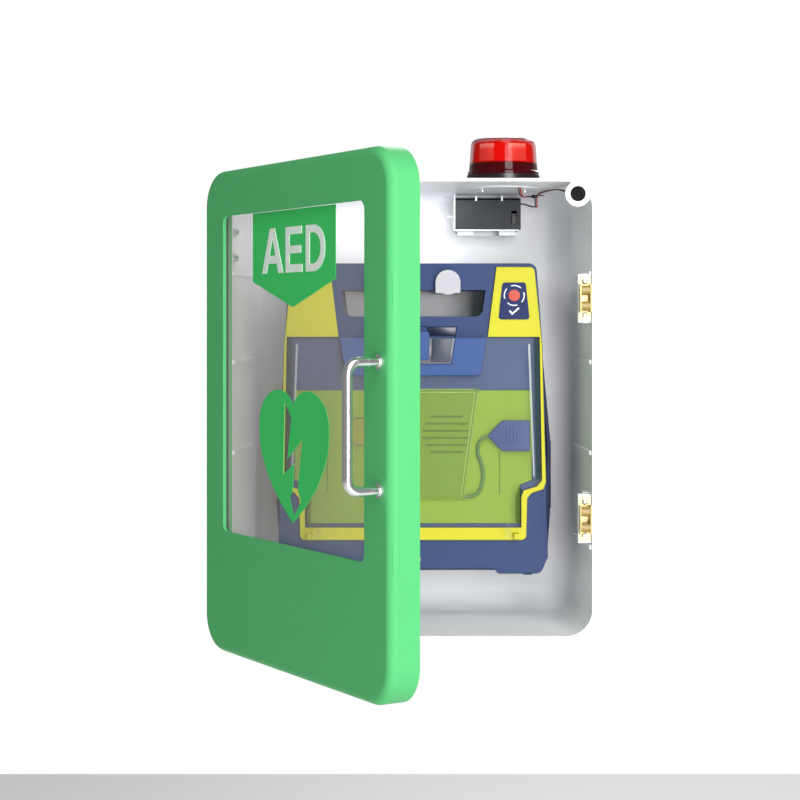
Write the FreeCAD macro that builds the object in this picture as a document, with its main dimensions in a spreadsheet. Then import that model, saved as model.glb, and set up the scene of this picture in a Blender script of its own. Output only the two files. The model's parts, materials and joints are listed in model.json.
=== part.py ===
import FreeCAD, Part
import math
import os
import re

import Sketcher
from FreeCAD import Placement, Rotation, Vector

# A public-access defibrillator station: a wall cabinet with an open door and the defibrillator inside.
# Millimetres. Origin on the wall plane at the centre of the four wall screws.
# X to the right, Y into the wall, Z up; the front faces -Y.

SIZES = [
    ("cabinet_wide", 347, "cabinet at the rim"),
    ("cabinet_high", 436, "cabinet at the rim"),
    ("cabinet_deep", 163, "wall to rim"),
    ("cabinet_wall", 3, "moulded wall"),
    ("back_half", 161.2, "half width at the wall, after the draft of the sides"),
    ("back_top", 214, "top at the wall"),
    ("back_low", 215.5, "bottom at the wall"),
    ("corner_round", 28, "corners seen from the front"),
    ("cove_round", 26, "edges round the back"),
    ("screw_half_wide", 95, "wall screws from the centre, X"),
    ("screw_half_high", 120, "wall screws from the centre, Z"),
    ("wall_hole", 3.2, "radius of the wall screw holes"),
    ("hinge_x", -178, "door axis"),
    ("hinge_y", -169.5, "door axis"),
    ("hinge_z", 155, "hinge centres above and below the middle"),
    ("hinge_high", 38, "hinge leaf"),
    ("knuckle", 3.5, "radius of the hinge knuckles"),
    ("pin", 1.8, "radius of the hinge pins"),
    ("leaf", 1.5, "leaf thickness"),
    ("door_open", 58.4, "door angle at rest, degrees"),
    ("door_left", -173.5, "door edge beside the hinges, shut"),
    ("door_right", 173, "free edge of the door, shut"),
    ("door_back", -163.6, "rear edge of the door, shut"),
    ("door_front", -190.6, "face of the door, shut"),
    ("door_high", 441, "door"),
    ("door_corner", 33, "door corners seen from the front"),
    ("door_edge", 7.5, "rounding round the face of the door"),
    ("door_wall", 3, "door wall"),
    ("window_half", 132, "half width of the window"),
    ("window_top", 178.5, "window"),
    ("window_low", -109.3, "window"),
    ("window_round", 8, "window corners"),
    ("pane_front", -186.4, "front of the pane"),
    ("pane_thick", 2, "pane"),
    ("sign", 0.4, "thickness of one sign layer"),
    ("handle_x", 158, "door handle"),
    ("handle_top", 50.5, "upper foot of the door handle"),
    ("handle_low", -50, "lower foot of the door handle"),
    ("handle_reach", 29.5, "face to the middle of the bar"),
    ("handle_bar", 4.1, "radius of the bar"),
    ("handle_bend", 10, "bend radius of the bar"),
    ("catch_z", 104.5, "catch centres above and below the middle"),
    ("catch_x", 163.8, "middle of the catches"),
    ("catch_half", 5.2, "half width of a catch"),
    ("roller", 4.5, "catch roller radius"),
    ("roller_z", 7.5, "roller axis from the catch centre"),
    ("roller_y", -167, "roller axis"),
    ("axle", 1.2, "roller axle radius"),
    ("roller_travel", 1.2, "how far a roller gives way"),
    ("strike_head", 3.8, "radius of the strike head"),
    ("strike_neck", 2.4, "half thickness of the strike neck"),
    ("strike_y", -162.5, "strike head centre, door shut"),
    ("hook_x", 34.3, "hook centres"),
    ("hook_half", 12.25, "half width of a hook"),
    ("hook_top", 133.3, "top of the upturned tab"),
    ("hook_under", 110.4, "underside of the arm"),
    ("hook_seat", 113.2, "top of the arm"),
    ("hook_front", -95, "front of the tab"),
    ("hook_plate", 2.2, "tab thickness"),
    ("strobe_x", 89, "alarm light"),
    ("strobe_y", -82, "alarm light"),
    ("strobe_base", 35.8, "radius of the base"),
    ("strobe_lens", 33.8, "radius of the lens"),
    ("strobe_top", 262.3, "top of the lens"),
    ("sensor_x", 157, "corner sensor"),
    ("sensor_z", 203.3, "corner sensor"),
    ("sensor", 7.2, "radius of the sensor disc"),
    ("box_left", 42, "battery box"),
    ("box_right", 108, "battery box"),
    ("box_low", 175.6, "battery box"),
    ("box_top", 205.3, "top of the battery cover"),
    ("box_back", -25, "battery box"),
    ("box_seam", -40, "seam between box and cover"),
    ("box_front", -44.5, "battery box"),
    ("cell", 7.1, "radius of an AA cell"),
    ("cell_y", -34.4, "cell axes"),
    ("lead", 0.65, "radius of one conductor"),
    ("aed_back", -10, "back of the defibrillator"),
    ("aed_split", -46, "seam between its two shells"),
    ("aed_face", -86, "front of its front shell"),
    ("aed_rear_half", 137.5, "half width of the rear shell"),
    ("aed_wall", 3, "shell wall"),
    ("bar_top", 140, "top of the carrying handle"),
    ("grip_top", 113.5, "underside of the carrying handle"),
    ("grip_low", 87.5, "bottom of the handle opening"),
    ("trim_face", -89.4, "front of the yellow trim"),
    ("lid_back", -86.4, "back of the lid"),
    ("lid_face", -96, "front of the lid"),
    ("lid_wall", 1.8, "lid wall"),
    ("lid_axis_y", -97, "lid axis"),
    ("lid_axis_z", -128, "lid axis"),
    ("latch_face", -98, "front of the latch panel"),
    ("button_x", -52, "shock button"),
    ("button_z", -26, "shock button"),
    ("button", 13, "radius of the shock button"),
    ("button_travel", 2, "shock button"),
    ("speaker_x", 33, "speaker"),
    ("speaker_z", -30, "speaker"),
]

doc = FreeCAD.newDocument("station")
sheet = doc.addObject("Spreadsheet::Sheet", "Sizes")
for row, (alias, value, note) in enumerate(SIZES, start=1):
    sheet.set(f"A{row}", note)
    sheet.set(f"B{row}", str(value))
    sheet.setAlias(f"B{row}", alias)
doc.recompute()

NAMES = {alias for alias, _, _ in SIZES}
NODES = {}


def full(text):
    """An expression in the sheet's terms."""
    return re.sub(
        r"[a-z]+(?:_[a-z]+)*",
        lambda word: f"Sizes.{word.group(0)}" if word.group(0) in NAMES else word.group(0),
        str(text),
    )


def num(text):
    return float(sheet.evalExpression(full(text)))


def keep(name, thing, placement=None):
    """Make a finished object one of the part's nodes."""
    thing.Label = name
    if placement is not None:
        thing.Placement = placement
    NODES[name] = thing
    return thing


# ---- building blocks: primitives -------------------------------------------------------------


def block(x, y, z):
    box = doc.addObject("Part::Box", "block")
    for prop, span in zip(("Length", "Width", "Height"), (x, y, z)):
        box.setExpression(prop, full(f"({span[1]}) - ({span[0]})"))
    for axis, span in zip("xyz", (x, y, z)):
        box.setExpression(f"Placement.Base.{axis}", full(f"{span[0]}"))
    return box


TURNS = {"x": Rotation(Vector(0, 1, 0), 90), "y": Rotation(Vector(1, 0, 0), -90), "z": Rotation()}


def rod(axis, centre, span, radius):
    """A cylinder along one axis; the centre gives the other two coordinates in order."""
    cylinder = doc.addObject("Part::Cylinder", "rod")
    cylinder.setExpression("Radius", full(radius))
    cylinder.setExpression("Height", full(f"({span[1]}) - ({span[0]})"))
    cylinder.Placement = Placement(Vector(), TURNS[axis])
    spots = dict(zip([a for a in "xyz" if a != axis], centre))
    spots[axis] = span[0]
    for a, text in spots.items():
        cylinder.setExpression(f"Placement.Base.{a}", full(f"{text}"))
    return cylinder


def fuse(things):
    if len(things) == 1:
        return things[0]
    joined = doc.addObject("Part::MultiFuse", "joined")
    joined.Shapes = things
    return joined


def group(things):
    several = doc.addObject("Part::Compound", "several")
    several.Links = things
    return several


def cut(base, tools):
    result = doc.addObject("Part::Cut", "trimmed")
    result.Base = base
    result.Tool = fuse(tools)
    return result


def screw(axis, centre, head, tip, head_r, shaft_r):
    """A pan-head screw: head spans head[0] to head[1], the shank runs from head[1] to tip."""
    return fuse([
        rod(axis, centre, sorted(head, key=num), head_r),
        rod(axis, centre, sorted((head[1], tip), key=num), shaft_r),
    ])


# ---- building blocks: sketched bodies --------------------------------------------------------


def new_body(name):
    return doc.addObject("PartDesign::Body", name)


def new_sketch(body, plane, level):
    sketch = body.newObject("Sketcher::SketchObject", "outline")
    origin = next(f for f in body.Origin.OriginFeatures if f.Role == plane)
    sketch.AttachmentSupport = [(origin, "")]
    sketch.MapMode = "FlatFace"
    sketch.setExpression("AttachmentOffset.Base.z", full(level))
    return sketch


def draw(sketch, corners):
    """A closed outline through the corners, each held by its two distances from the origin."""
    spots = [Vector(num(a), num(b), 0) for a, b in corners]
    count = len(spots)
    start = sketch.GeometryCount
    first = sketch.ConstraintCount + count
    sketch.addGeometry(
        [Part.LineSegment(spots[i], spots[(i + 1) % count]) for i in range(count)], False
    )
    ties = [
        Sketcher.Constraint("Coincident", start + i, 2, start + (i + 1) % count, 1)
        for i in range(count)
    ]
    for i, spot in enumerate(spots):
        ties.append(Sketcher.Constraint("DistanceX", -1, 1, start + i, 1, spot.x))
        ties.append(Sketcher.Constraint("DistanceY", -1, 1, start + i, 1, spot.y))
    sketch.addConstraint(ties)
    for i, (a, b) in enumerate(corners):
        sketch.setExpression(f"Constraints[{first + 2 * i}]", full(a))
        sketch.setExpression(f"Constraints[{first + 2 * i + 1}]", full(b))


def draw_circles(sketch, centres, radius):
    for x, z in centres:
        i = sketch.addGeometry(Part.Circle(Vector(num(x), num(z), 0), Vector(0, 0, 1), num(radius)))
        first = sketch.ConstraintCount
        sketch.addConstraint([
            Sketcher.Constraint("Radius", i, num(radius)),
            Sketcher.Constraint("DistanceX", -1, 1, i, 3, num(x)),
            Sketcher.Constraint("DistanceY", -1, 1, i, 3, num(z)),
        ])
        for offset, text in enumerate((radius, x, z)):
            sketch.setExpression(f"Constraints[{first + offset}]", full(text))


def draw_rounded(sketch, x, z, radius):
    """A rounded rectangle: four lines held by their ends, joined by four arcs of one radius."""
    x0, x1, z0, z1 = (f"({text})" for text in (*x, *z))
    r = f"({radius})"
    ends = [
        ((f"{x0} + {r}", z0), (f"{x1} - {r}", z0)),
        ((x1, f"{z0} + {r}"), (x1, f"{z1} - {r}")),
        ((f"{x1} - {r}", z1), (f"{x0} + {r}", z1)),
        ((x0, f"{z1} - {r}"), (x0, f"{z0} + {r}")),
    ]
    middles = [(f"{x1} - {r}", f"{z0} + {r}"), (f"{x1} - {r}", f"{z1} - {r}"),
               (f"{x0} + {r}", f"{z1} - {r}"), (f"{x0} + {r}", f"{z0} + {r}")]
    for start, end in ends:
        sketch.addGeometry(Part.LineSegment(*(Vector(num(a), num(b), 0) for a, b in (start, end))))
    for i, (a, b) in enumerate(middles):
        circle = Part.Circle(Vector(num(a), num(b), 0), Vector(0, 0, 1), num(r))
        first = math.pi / 2 * (i - 1)
        sketch.addGeometry(Part.ArcOfCircle(circle, first, first + math.pi / 2))
    for i in range(4):
        sketch.addConstraint(Sketcher.Constraint("Coincident", i, 2, 4 + i, 1))
        sketch.addConstraint(Sketcher.Constraint("Coincident", 4 + i, 2, (i + 1) % 4, 1))
    for i, line in enumerate(ends):
        for point, spot in enumerate(line, start=1):
            for kind, text in zip(("DistanceX", "DistanceY"), spot):
                held = sketch.addConstraint(Sketcher.Constraint(kind, -1, 1, i, point, num(text)))
                sketch.setExpression(f"Constraints[{held}]", full(text))
    for i in range(4):
        held = sketch.addConstraint(Sketcher.Constraint("Radius", 4 + i, num(r)))
        sketch.setExpression(f"Constraints[{held}]", full(r))


def extrude(body, kind, sketch, length):
    step = body.newObject(f"PartDesign::{kind}", kind.lower())
    step.Profile = sketch
    step.setExpression("Length", full(length))
    return step


def add(body, outlines, back, front):
    """Material between two planes across Y, seen from the front."""
    sketch = new_sketch(body, "XZ_Plane", f"-({back})")
    for corners in outlines:
        draw(sketch, corners)
    return extrude(body, "Pad", sketch, f"({back}) - ({front})")


def take(body, outlines, front, back):
    sketch = new_sketch(body, "XZ_Plane", f"-({front})")
    for corners in outlines:
        draw(sketch, corners)
    return extrude(body, "Pocket", sketch, f"({back}) - ({front})")


def add_discs(body, centres, radius, back, front):
    sketch = new_sketch(body, "XZ_Plane", f"-({back})")
    draw_circles(sketch, centres, radius)
    return extrude(body, "Pad", sketch, f"({back}) - ({front})")


def take_discs(body, centres, radius, front, back):
    sketch = new_sketch(body, "XZ_Plane", f"-({front})")
    draw_circles(sketch, centres, radius)
    return extrude(body, "Pocket", sketch, f"({back}) - ({front})")


def soften(body, radius, wanted, kind="Fillet"):
    """Round or chamfer every edge of the body so far that the test picks."""
    doc.recompute()
    base = body.Tip
    names = [f"Edge{i + 1}" for i, edge in enumerate(base.Shape.Edges) if wanted(edge)]
    step = body.newObject(f"PartDesign::{kind}", kind.lower())
    step.Base = (base, names)
    step.setExpression("Radius" if kind == "Fillet" else "Size", full(radius))
    doc.recompute()
    return step


def columns(corners):
    """Edges that run along Y at the given corners."""
    spots = [(num(a), num(b)) for a, b in corners]

    def wanted(edge):
        ends = [v.Point for v in edge.Vertexes]
        return len(ends) == 2 and abs(ends[0].y - ends[1].y) > 0.5 and all(
            any(math.hypot(p.x - x, p.z - z) < 0.05 for x, z in spots) for p in ends
        )

    return wanted


def at_level(axis, level, reach=1e9):
    """Edges that lie in a plane across one axis."""

    def wanted(edge):
        box = edge.BoundBox
        low, high = {"x": (box.XMin, box.XMax), "y": (box.YMin, box.YMax), "z": (box.ZMin, box.ZMax)}[axis]
        return abs(low - num(level)) < 0.02 and abs(high - num(level)) < 0.02 and edge.Length < reach

    return wanted


def both(right):
    """A symmetric outline from its right half, given from top to bottom."""
    return right + [(f"-({x})", z) for x, z in reversed(right)]


def rectangle(x, z):
    return [(x[0], z[0]), (x[1], z[0]), (x[1], z[1]), (x[0], z[1])]


def revolve(name, profile, placement):
    """A ring turned about its own upright axis: the profile gives radius and height."""
    body = new_body(name)
    sketch = new_sketch(body, "XZ_Plane", "0")
    draw(sketch, profile)
    step = body.newObject("PartDesign::Revolution", "turned")
    step.Profile = sketch
    step.ReferenceAxis = (sketch, ["V_Axis"])
    step.Angle = 360
    return keep(name, body, placement)


def route(points):
    """Straight runs joined by tangent arcs, each arc sized from the shorter run beside it."""
    spots = [Vector(*p) for p in points]
    edges, here, radii = [], spots[0], []
    for before, at, after in zip(spots, spots[1:], spots[2:]):
        arrive = (at - before).normalize()
        leave = (after - at).normalize()
        half = arrive.getAngle(leave) / 2
        run = min((at - before).Length, (after - at).Length)
        radius = 0.45 * run / math.tan(half)
        reach = 0.45 * run
        start = at - arrive * reach
        end = at + leave * reach
        inward = (leave - arrive).normalize()
        middle = at + inward * (radius / math.cos(half) - radius)
        edges.append(Part.LineSegment(here, start).toShape())
        edges.append(Part.Arc(start, middle, end).toShape())
        radii.append(radius)
        here = end
    edges.append(Part.LineSegment(here, spots[-1]).toShape())
    return Part.Wire(edges), radii


def tube(points, radius):
    """One round conductor along a route."""
    wire, radii = route(points)
    first = wire.Edges[0]
    ring = Part.Circle(first.Vertexes[0].Point, first.tangentAt(first.FirstParameter), num(radius))
    sweep = wire.makePipeShell([Part.Wire([ring.toShape()])], True, True)
    return sweep, wire.Length, radii


def cords(name, routes, radius):
    shapes, lengths, bends = [], [], []
    for points in routes:
        shape, length, radii = tube(points, radius)
        shapes.append(shape)
        lengths.append(round(length, 1))
        bends.append([round(r, 1) for r in radii])
    feature = doc.addObject("Part::Feature", name)
    feature.Shape = Part.makeCompound(shapes)
    print(name, "lengths", lengths, "bend radii", bends)
    return keep(name, feature)


TWO = (1, -1)
ON_DOOR = Placement(
    Vector(), Rotation(Vector(0, 0, 1), -num("door_open")), Vector(num("hinge_x"), num("hinge_y"), 0)
)

# ---- the cabinet -----------------------------------------------------------------------------


def section(inset, y):
    """The cabinet's rounded outline at one depth, drawn in by an inset."""
    part = -y / num("cabinet_deep")
    half = num("back_half") + (num("cabinet_wide") / 2 - num("back_half")) * part - inset
    top = num("back_top") + (num("cabinet_high") / 2 - num("back_top")) * part - inset
    low = -num("back_low") - (num("cabinet_high") / 2 - num("back_low")) * part + inset
    r = max(num("corner_round") - inset, 2)
    k = r * (1 - math.sqrt(0.5))

    def at(x, z):
        return Vector(x, y, z)

    edges = [
        Part.LineSegment(at(half - r, top), at(r - half, top)),
        Part.Arc(at(r - half, top), at(k - half, top - k), at(-half, top - r)),
        Part.LineSegment(at(-half, top - r), at(-half, low + r)),
        Part.Arc(at(-half, low + r), at(k - half, low + k), at(r - half, low)),
        Part.LineSegment(at(r - half, low), at(half - r, low)),
        Part.Arc(at(half - r, low), at(half - k, low + k), at(half, low + r)),
        Part.LineSegment(at(half, low + r), at(half, top - r)),
        Part.Arc(at(half, top - r), at(half - k, top - k), at(half - r, top)),
    ]
    return Part.Wire([edge.toShape() for edge in edges])


def drafted(name, inset, front):
    """A rounded box that narrows from the rim to the wall, ending in a cove round its back."""
    cove = num("cove_round") - inset
    turn = -inset - cove
    straight = Part.makeLoft([section(inset, front), section(inset, turn)], True, True)
    steps = [math.pi / 2 * i / 6 for i in range(7)]
    bends = [section(inset + cove * (1 - math.cos(a)), turn + cove * math.sin(a)) for a in steps]
    feature = doc.addObject("Part::Feature", name)
    feature.Shape = straight.fuse(Part.makeLoft(bends, True, False))
    return feature


outside = drafted("cabinet_outside", 0, -num("cabinet_deep"))
inside = drafted("cabinet_inside", num("cabinet_wall"), -num("cabinet_deep") - 1)
shell = new_body("cabinet_shell")
shell.BaseFeature = cut(outside, [inside])

# Flat seats outside the left wall for the hinge leaves, and blocks inside the right wall for the catches.
for side in TWO:
    z = f"{side} * hinge_z"
    add(shell, [rectangle(("-173.5", "-170"), (f"{z} - 21", f"{z} + 21"))], "-138", "-cabinet_deep")
for side in TWO:
    z = f"{side} * catch_z"
    add(shell, [rectangle(("157.6", "170.5"), (f"{z} - 23", f"{z} + 23"))], "-144", "-157")
    add(shell, [rectangle(("163", "169.5"), (f"{z} - 23.8", f"{z} + 23.8"))], "-126", "-144")
# Shallow ribs across the side walls.
for z in (128.4, 44, -42, -131.4):
    ribs = new_sketch(shell, "XY_Plane", f"{z} - 2")
    for side in TWO:
        draw(ribs, [
            (f"{side} * 168.2", "-158"),
            (f"{side} * 172", "-158"),
            (f"{side} * 164", "-52"),
            (f"{side} * 159.6", "-52"),
        ])
    extrude(shell, "Pad", ribs, "4")
# The flat seat of the alarm light, above, and the corner boss of the sensor.
seat = new_sketch(shell, "XY_Plane", "213")
draw_circles(seat, [("strobe_x", "strobe_y")], "strobe_base + 2")
extrude(shell, "Pad", seat, "5")
add_discs(shell, [("sensor_x", "sensor_z")], "12", "-148", "-162.8")
add(shell, [[
    ("sensor_x - 11.2", "sensor_z + 3.6"),
    ("sensor_x - 5.6", "sensor_z + 12.4"),
    ("sensor_x + 0.6", "sensor_z + 11"),
    ("sensor_x + 7", "sensor_z + 5.4"),
    ("sensor_x + 11", "sensor_z - 0.6"),
    ("sensor_x + 13", "sensor_z - 4.2"),
    ("sensor_x + 4.2", "sensor_z - 11.2"),
]], "-148", "-162.8")
# Holes.
take_discs(
    shell,
    [(f"{a} * screw_half_wide", f"{b} * screw_half_high") for a in TWO for b in TWO],
    "wall_hole", "-8", "1",
)
take_discs(shell, [("sensor_x", "sensor_z")], "sensor + 0.1", "-164", "-152.9")
take_discs(shell, [("sensor_x - 4", "sensor_z - 2")], "2.6", "-154", "-146")
take_discs(
    shell,
    [(f"{a} * 40", f"{b}") for a in TWO for b in (119, 131)],
    "2.1", "-8", "1",
)
take_discs(
    shell,
    [("catch_x", f"{a} * catch_z + {b} * 16") for a in TWO for b in TWO],
    "1.6", "-158", "-147",
)
lamp_holes = new_sketch(shell, "XY_Plane", "219")
draw_circles(lamp_holes, [("strobe_x - 21", "strobe_y"), ("strobe_x + 21", "strobe_y")], "2.1")
draw_circles(lamp_holes, [("strobe_x + 15", "strobe_y - 24")], "4")
extrude(shell, "Pocket", lamp_holes, "12")
leaf_holes = [
    rod("x", ("-150", f"{side} * hinge_z + {row} * 12.4"), ("-176", "-166"), "2.1")
    for side in TWO for row in TWO
]
keep("cabinet_shell", cut(shell, leaf_holes))


# ---- hinges: each leaf keeps knuckles at other heights ----------------------------------------

KNUCKLES = [(-19, -11.7), (-11.3, -3.9), (-3.5, 3.5), (3.9, 11.3), (11.7, 19)]


def hinge_leaf(centre, own, span, holes_y):
    """One leaf: a plate beside the axis, its knuckles, and gaps round the other leaf's knuckles."""
    plate = block(
        ("door_left - leaf", "door_left"), span, (f"{centre} - hinge_high / 2", f"{centre} + hinge_high / 2")
    )
    knuckles, gaps = [], []
    for i, (low, high) in enumerate(KNUCKLES):
        reach = (f"{centre} + {low}", f"{centre} + {high}")
        if i % 2 == own:
            knuckles.append(rod("z", ("hinge_x", "hinge_y"), reach, "knuckle"))
        else:
            wide = (f"{centre} + {low} - 0.4", f"{centre} + {high} + 0.4")
            gaps.append(rod("z", ("hinge_x", "hinge_y"), wide, "knuckle + 0.5"))
    holes = [
        rod("x", (holes_y, f"{centre} + {s} * 12.4"), ("door_left - 3", "door_left + 1"), "2.1")
        for s in TWO
    ]
    bore = rod("z", ("hinge_x", "hinge_y"), (f"{centre} - 22", f"{centre} + 22"), "pin + 0.05")
    return cut(fuse([cut(plate, gaps)] + knuckles), holes + [bore])


fixed, moving, pins = [], [], []
for side in TWO:
    z = f"{side} * hinge_z"
    fixed.append(hinge_leaf(z, 0, ("hinge_y", "-141"), "-150"))
    moving.append(hinge_leaf(z, 1, ("-182.8", "hinge_y"), "-177.5"))
    pins.append(fuse([
        rod("z", ("hinge_x", "hinge_y"), (f"{z} - 19.8", f"{z} + 19.2"), "pin"),
        rod("z", ("hinge_x", "hinge_y"), (f"{z} + 19.2", f"{z} + 20.6"), "pin + 1.2"),
    ]))
keep("hinge_leaves_fixed", group(fixed))
keep("hinge_leaves_moving", group(moving), ON_DOOR)
keep("hinge_pins", group(pins))

wall_side, door_side = [], []
for side in TWO:
    for row in TWO:
        z = f"{side} * hinge_z + {row} * 12.4"
        wall_side.append(fuse([
            rod("x", ("-150", z), ("door_left - leaf - 1.6", "door_left - leaf"), "3.6"),
            rod("x", ("-150", z), ("door_left - leaf", "-164.6"), "2"),
            rod("x", ("-150", z), ("-169", "-168.2"), "4.8"),
            rod("x", ("-150", z), ("-168.2", "-165.8"), "3.6"),
        ]))
        door_side.append(fuse([
            rod("x", ("-177.5", z), ("door_left - leaf - 1.6", "door_left - leaf"), "3.6"),
            rod("x", ("-177.5", z), ("door_left - leaf", "door_left + 7"), "2"),
            rod("x", ("-177.5", z), ("door_left + 3.2", "door_left + 5.6"), "3.6"),
        ]))
keep("hinge_screws_fixed", group(wall_side))
keep("hinge_screws_moving", group(door_side), ON_DOOR)

# ---- roller catches ----------------------------------------------------------------------------

frames, catch_screws = [], []
for side, place in zip(TWO, ("upper", "lower")):
    z = f"{side} * catch_z"
    base = block(
        ("catch_x - catch_half", "catch_x + catch_half"), ("-158.2", "-157"), (f"{z} - 21", f"{z} + 21")
    )
    cheeks = [
        block((low, high), ("-172", "-158.2"), (f"{z} - 13.4", f"{z} + 13.4"))
        for low, high in (
            ("catch_x - catch_half", "catch_x - catch_half + 0.8"),
            ("catch_x + catch_half - 0.8", "catch_x + catch_half"),
        )
    ]
    slots = []
    for row in TWO:
        low, high = sorted((row * 7.5, row * 8.7))
        slots.append(block(
            ("catch_x - 7", "catch_x + 7"),
            ("roller_y - axle - 0.05", "roller_y + axle + 0.05"),
            (f"{z} + {low} - axle - 0.05", f"{z} + {high} + axle + 0.05"),
        ))
    holes = [rod("y", ("catch_x", f"{z} + {row} * 16"), ("-160", "-156"), "1.6") for row in TWO]
    frames.append(cut(fuse([base] + cheeks), slots + holes))
    for row, part in zip(TWO, ("top", "low")):
        centre = ("roller_y", f"{z} + {row} * roller_z")
        roller = fuse([
            rod("x", centre, ("catch_x - 4.1", "catch_x + 4.1"), "roller"),
            rod("x", centre, ("catch_x - catch_half - 0.2", "catch_x + catch_half + 0.2"), "axle"),
        ])
        keep(f"catch_roller_{place}_{part}", roller)
        catch_screws.append(
            screw("y", ("catch_x", f"{z} + {row} * 16"), ("-159.6", "-158.2"), "-148", "2.9", "1.5")
        )
keep("catch_bodies", group(frames))
keep("catch_screws", group(catch_screws))

# ---- hooks for the defibrillator ---------------------------------------------------------------

arms = []
for side in TWO:
    x = (f"{side} * hook_x - hook_half", f"{side} * hook_x + hook_half")
    arms.append(block(x, ("hook_front", "-3"), ("hook_under", "hook_seat")))
    tab = ("hook_front", "hook_front + hook_plate")
    arms.append(block(x, tab, ("hook_under", "hook_top - hook_half")))
    arms.append(rod("y", (f"{side} * hook_x", "hook_top - hook_half"), tab, "hook_half"))
roots = [
    block((f"{side} * hook_x - hook_half", f"{side} * hook_x + hook_half"), ("-5", "-3"),
          ("hook_under", "138"))
    for side in TWO
]
strip = block(("-hook_x", "hook_x"), ("-5", "-3"), ("115.5", "138"))
HANGER = [(f"{a} * 40", f"{b}") for a in TWO for b in (119, 131)]
back_plate = cut(fuse([strip] + roots), [rod("y", spot, ("-6", "-2"), "2.1") for spot in HANGER])
keep("hanger_hooks", fuse([back_plate] + arms))
keep("hanger_screws", group([screw("y", spot, ("-7", "-5"), "-0.4", "3.8", "2") for spot in HANGER]))

# ---- battery box and its bracket ---------------------------------------------------------------

bracket_x = ("box_left - 1.5", "106")
bracket = fuse([
    block(("box_left - 1.5", "box_left - 0.1"), ("box_front - 1", "box_back + 1.5"), ("174", "211")),
    block(bracket_x, ("box_front - 1", "box_back + 1.5"), ("174", "box_low - 0.1")),
    block(bracket_x, ("box_back + 0.1", "box_back + 1.5"), ("169.5", "211")),
    block(("box_left - 8", "box_left - 1.4"), ("box_back", "box_back + 1.4"), ("188.6", "190.4")),
] + [
    block((f"{x} - 8", f"{x} + 8"), ("box_front + 3", "box_back + 1"), ("169.5", "174.2")) for x in (52, 94)
] + [
    block((f"{x} - 1", f"{x} + 1"), ("box_front - 1.2", "box_back + 1"), ("box_top + 2.5", "box_top + 4"))
    for x in (63, 89)
] + [
    block((f"{x} - 1", f"{x} + 1"), ("box_front - 1.2", "box_front - 0.1"), ("box_top - 1", "box_top + 4"))
    for x in (63, 89)
])
keep("battery_bracket", bracket)

box_x = ("box_left", "box_right")
box_z = ("box_low", "box_top")
holder = cut(block(box_x, ("box_seam", "box_back"), ("box_low", "box_top + 2.4")), [
    block(("box_left + 1.3", "97"), ("box_seam - 1", "box_back - 1.3"), ("box_low + 1.2", "box_top + 1.2")),
    block(("98", "box_right - 1.3"), ("box_seam - 1", "box_back - 1.3"), ("box_low + 1.2", "box_top + 1.2")),
    rod("x", ("cell_y", "202"), ("box_right - 3", "box_right + 1"), "2"),
])
keep("battery_box", holder)
lid_hollow = block(("box_left + 1.3", "box_right - 1.3"), ("box_front + 1.3", "box_seam + 1"),
                   ("box_low + 1.2", "box_top - 1.2"))
switch_slot = block(("98.4", "104"), ("box_front - 1", "box_front + 2"), ("180.6", "194.4"))
keep("battery_cover", cut(block(box_x, ("box_front", "box_seam"), box_z), [lid_hollow, switch_slot]))
keep("battery_switch", fuse([
    block(("98.9", "103.5"), ("box_front - 2", "box_front + 1.6"), ("181.2", "189.8")),
    block(("97.9", "104.9"), ("box_front + 1.6", "box_front + 2.8"), ("179", "191.6")),
]))
cells = []
for row in TWO:
    z = f"(box_low + box_top) / 2 + 1.2 + {row} * 7.25"
    cells.append(fuse([
        rod("x", ("cell_y", z), ("44.5", "93.5"), "cell"),
        rod("x", ("cell_y", z), ("93.5", "94.8"), "2.6"),
    ]))
keep("battery_cells", group(cells))

# ---- alarm light on top -----------------------------------------------------------------------

LAMP = Placement(Vector(num("strobe_x"), num("strobe_y"), 0), Rotation())
LAMP_SCREWS = [(f"strobe_x + {a} * 21", "strobe_y") for a in TWO]
LAMP_LEAD = ("strobe_x + 15", "strobe_y - 24")
ring = cut(rod("z", ("strobe_x", "strobe_y"), ("218", "219.2"), "34"), [
    rod("z", ("strobe_x", "strobe_y"), ("217", "220"), "15"),
    rod("z", LAMP_LEAD, ("217", "220"), "4"),
] + [rod("z", spot, ("217", "220"), "2.1") for spot in LAMP_SCREWS])
keep("strobe_gasket", ring)
revolve("strobe_lens", [
    ("strobe_lens - 2.4", "226.6"),
    ("35", "226.6"),
    ("35", "229.6"),
    ("34.4", "230.4"),
    ("strobe_lens", "231"),
    ("32", "256.5"),
    ("31", "259.8"),
    ("28.6", "261.8"),
    ("25.6", "strobe_top"),
    ("0.01", "strobe_top"),
    ("0.01", "strobe_top - 2.4"),
    ("25", "strobe_top - 2.4"),
    ("27.8", "259"),
    ("29.4", "256"),
], LAMP)
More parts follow.
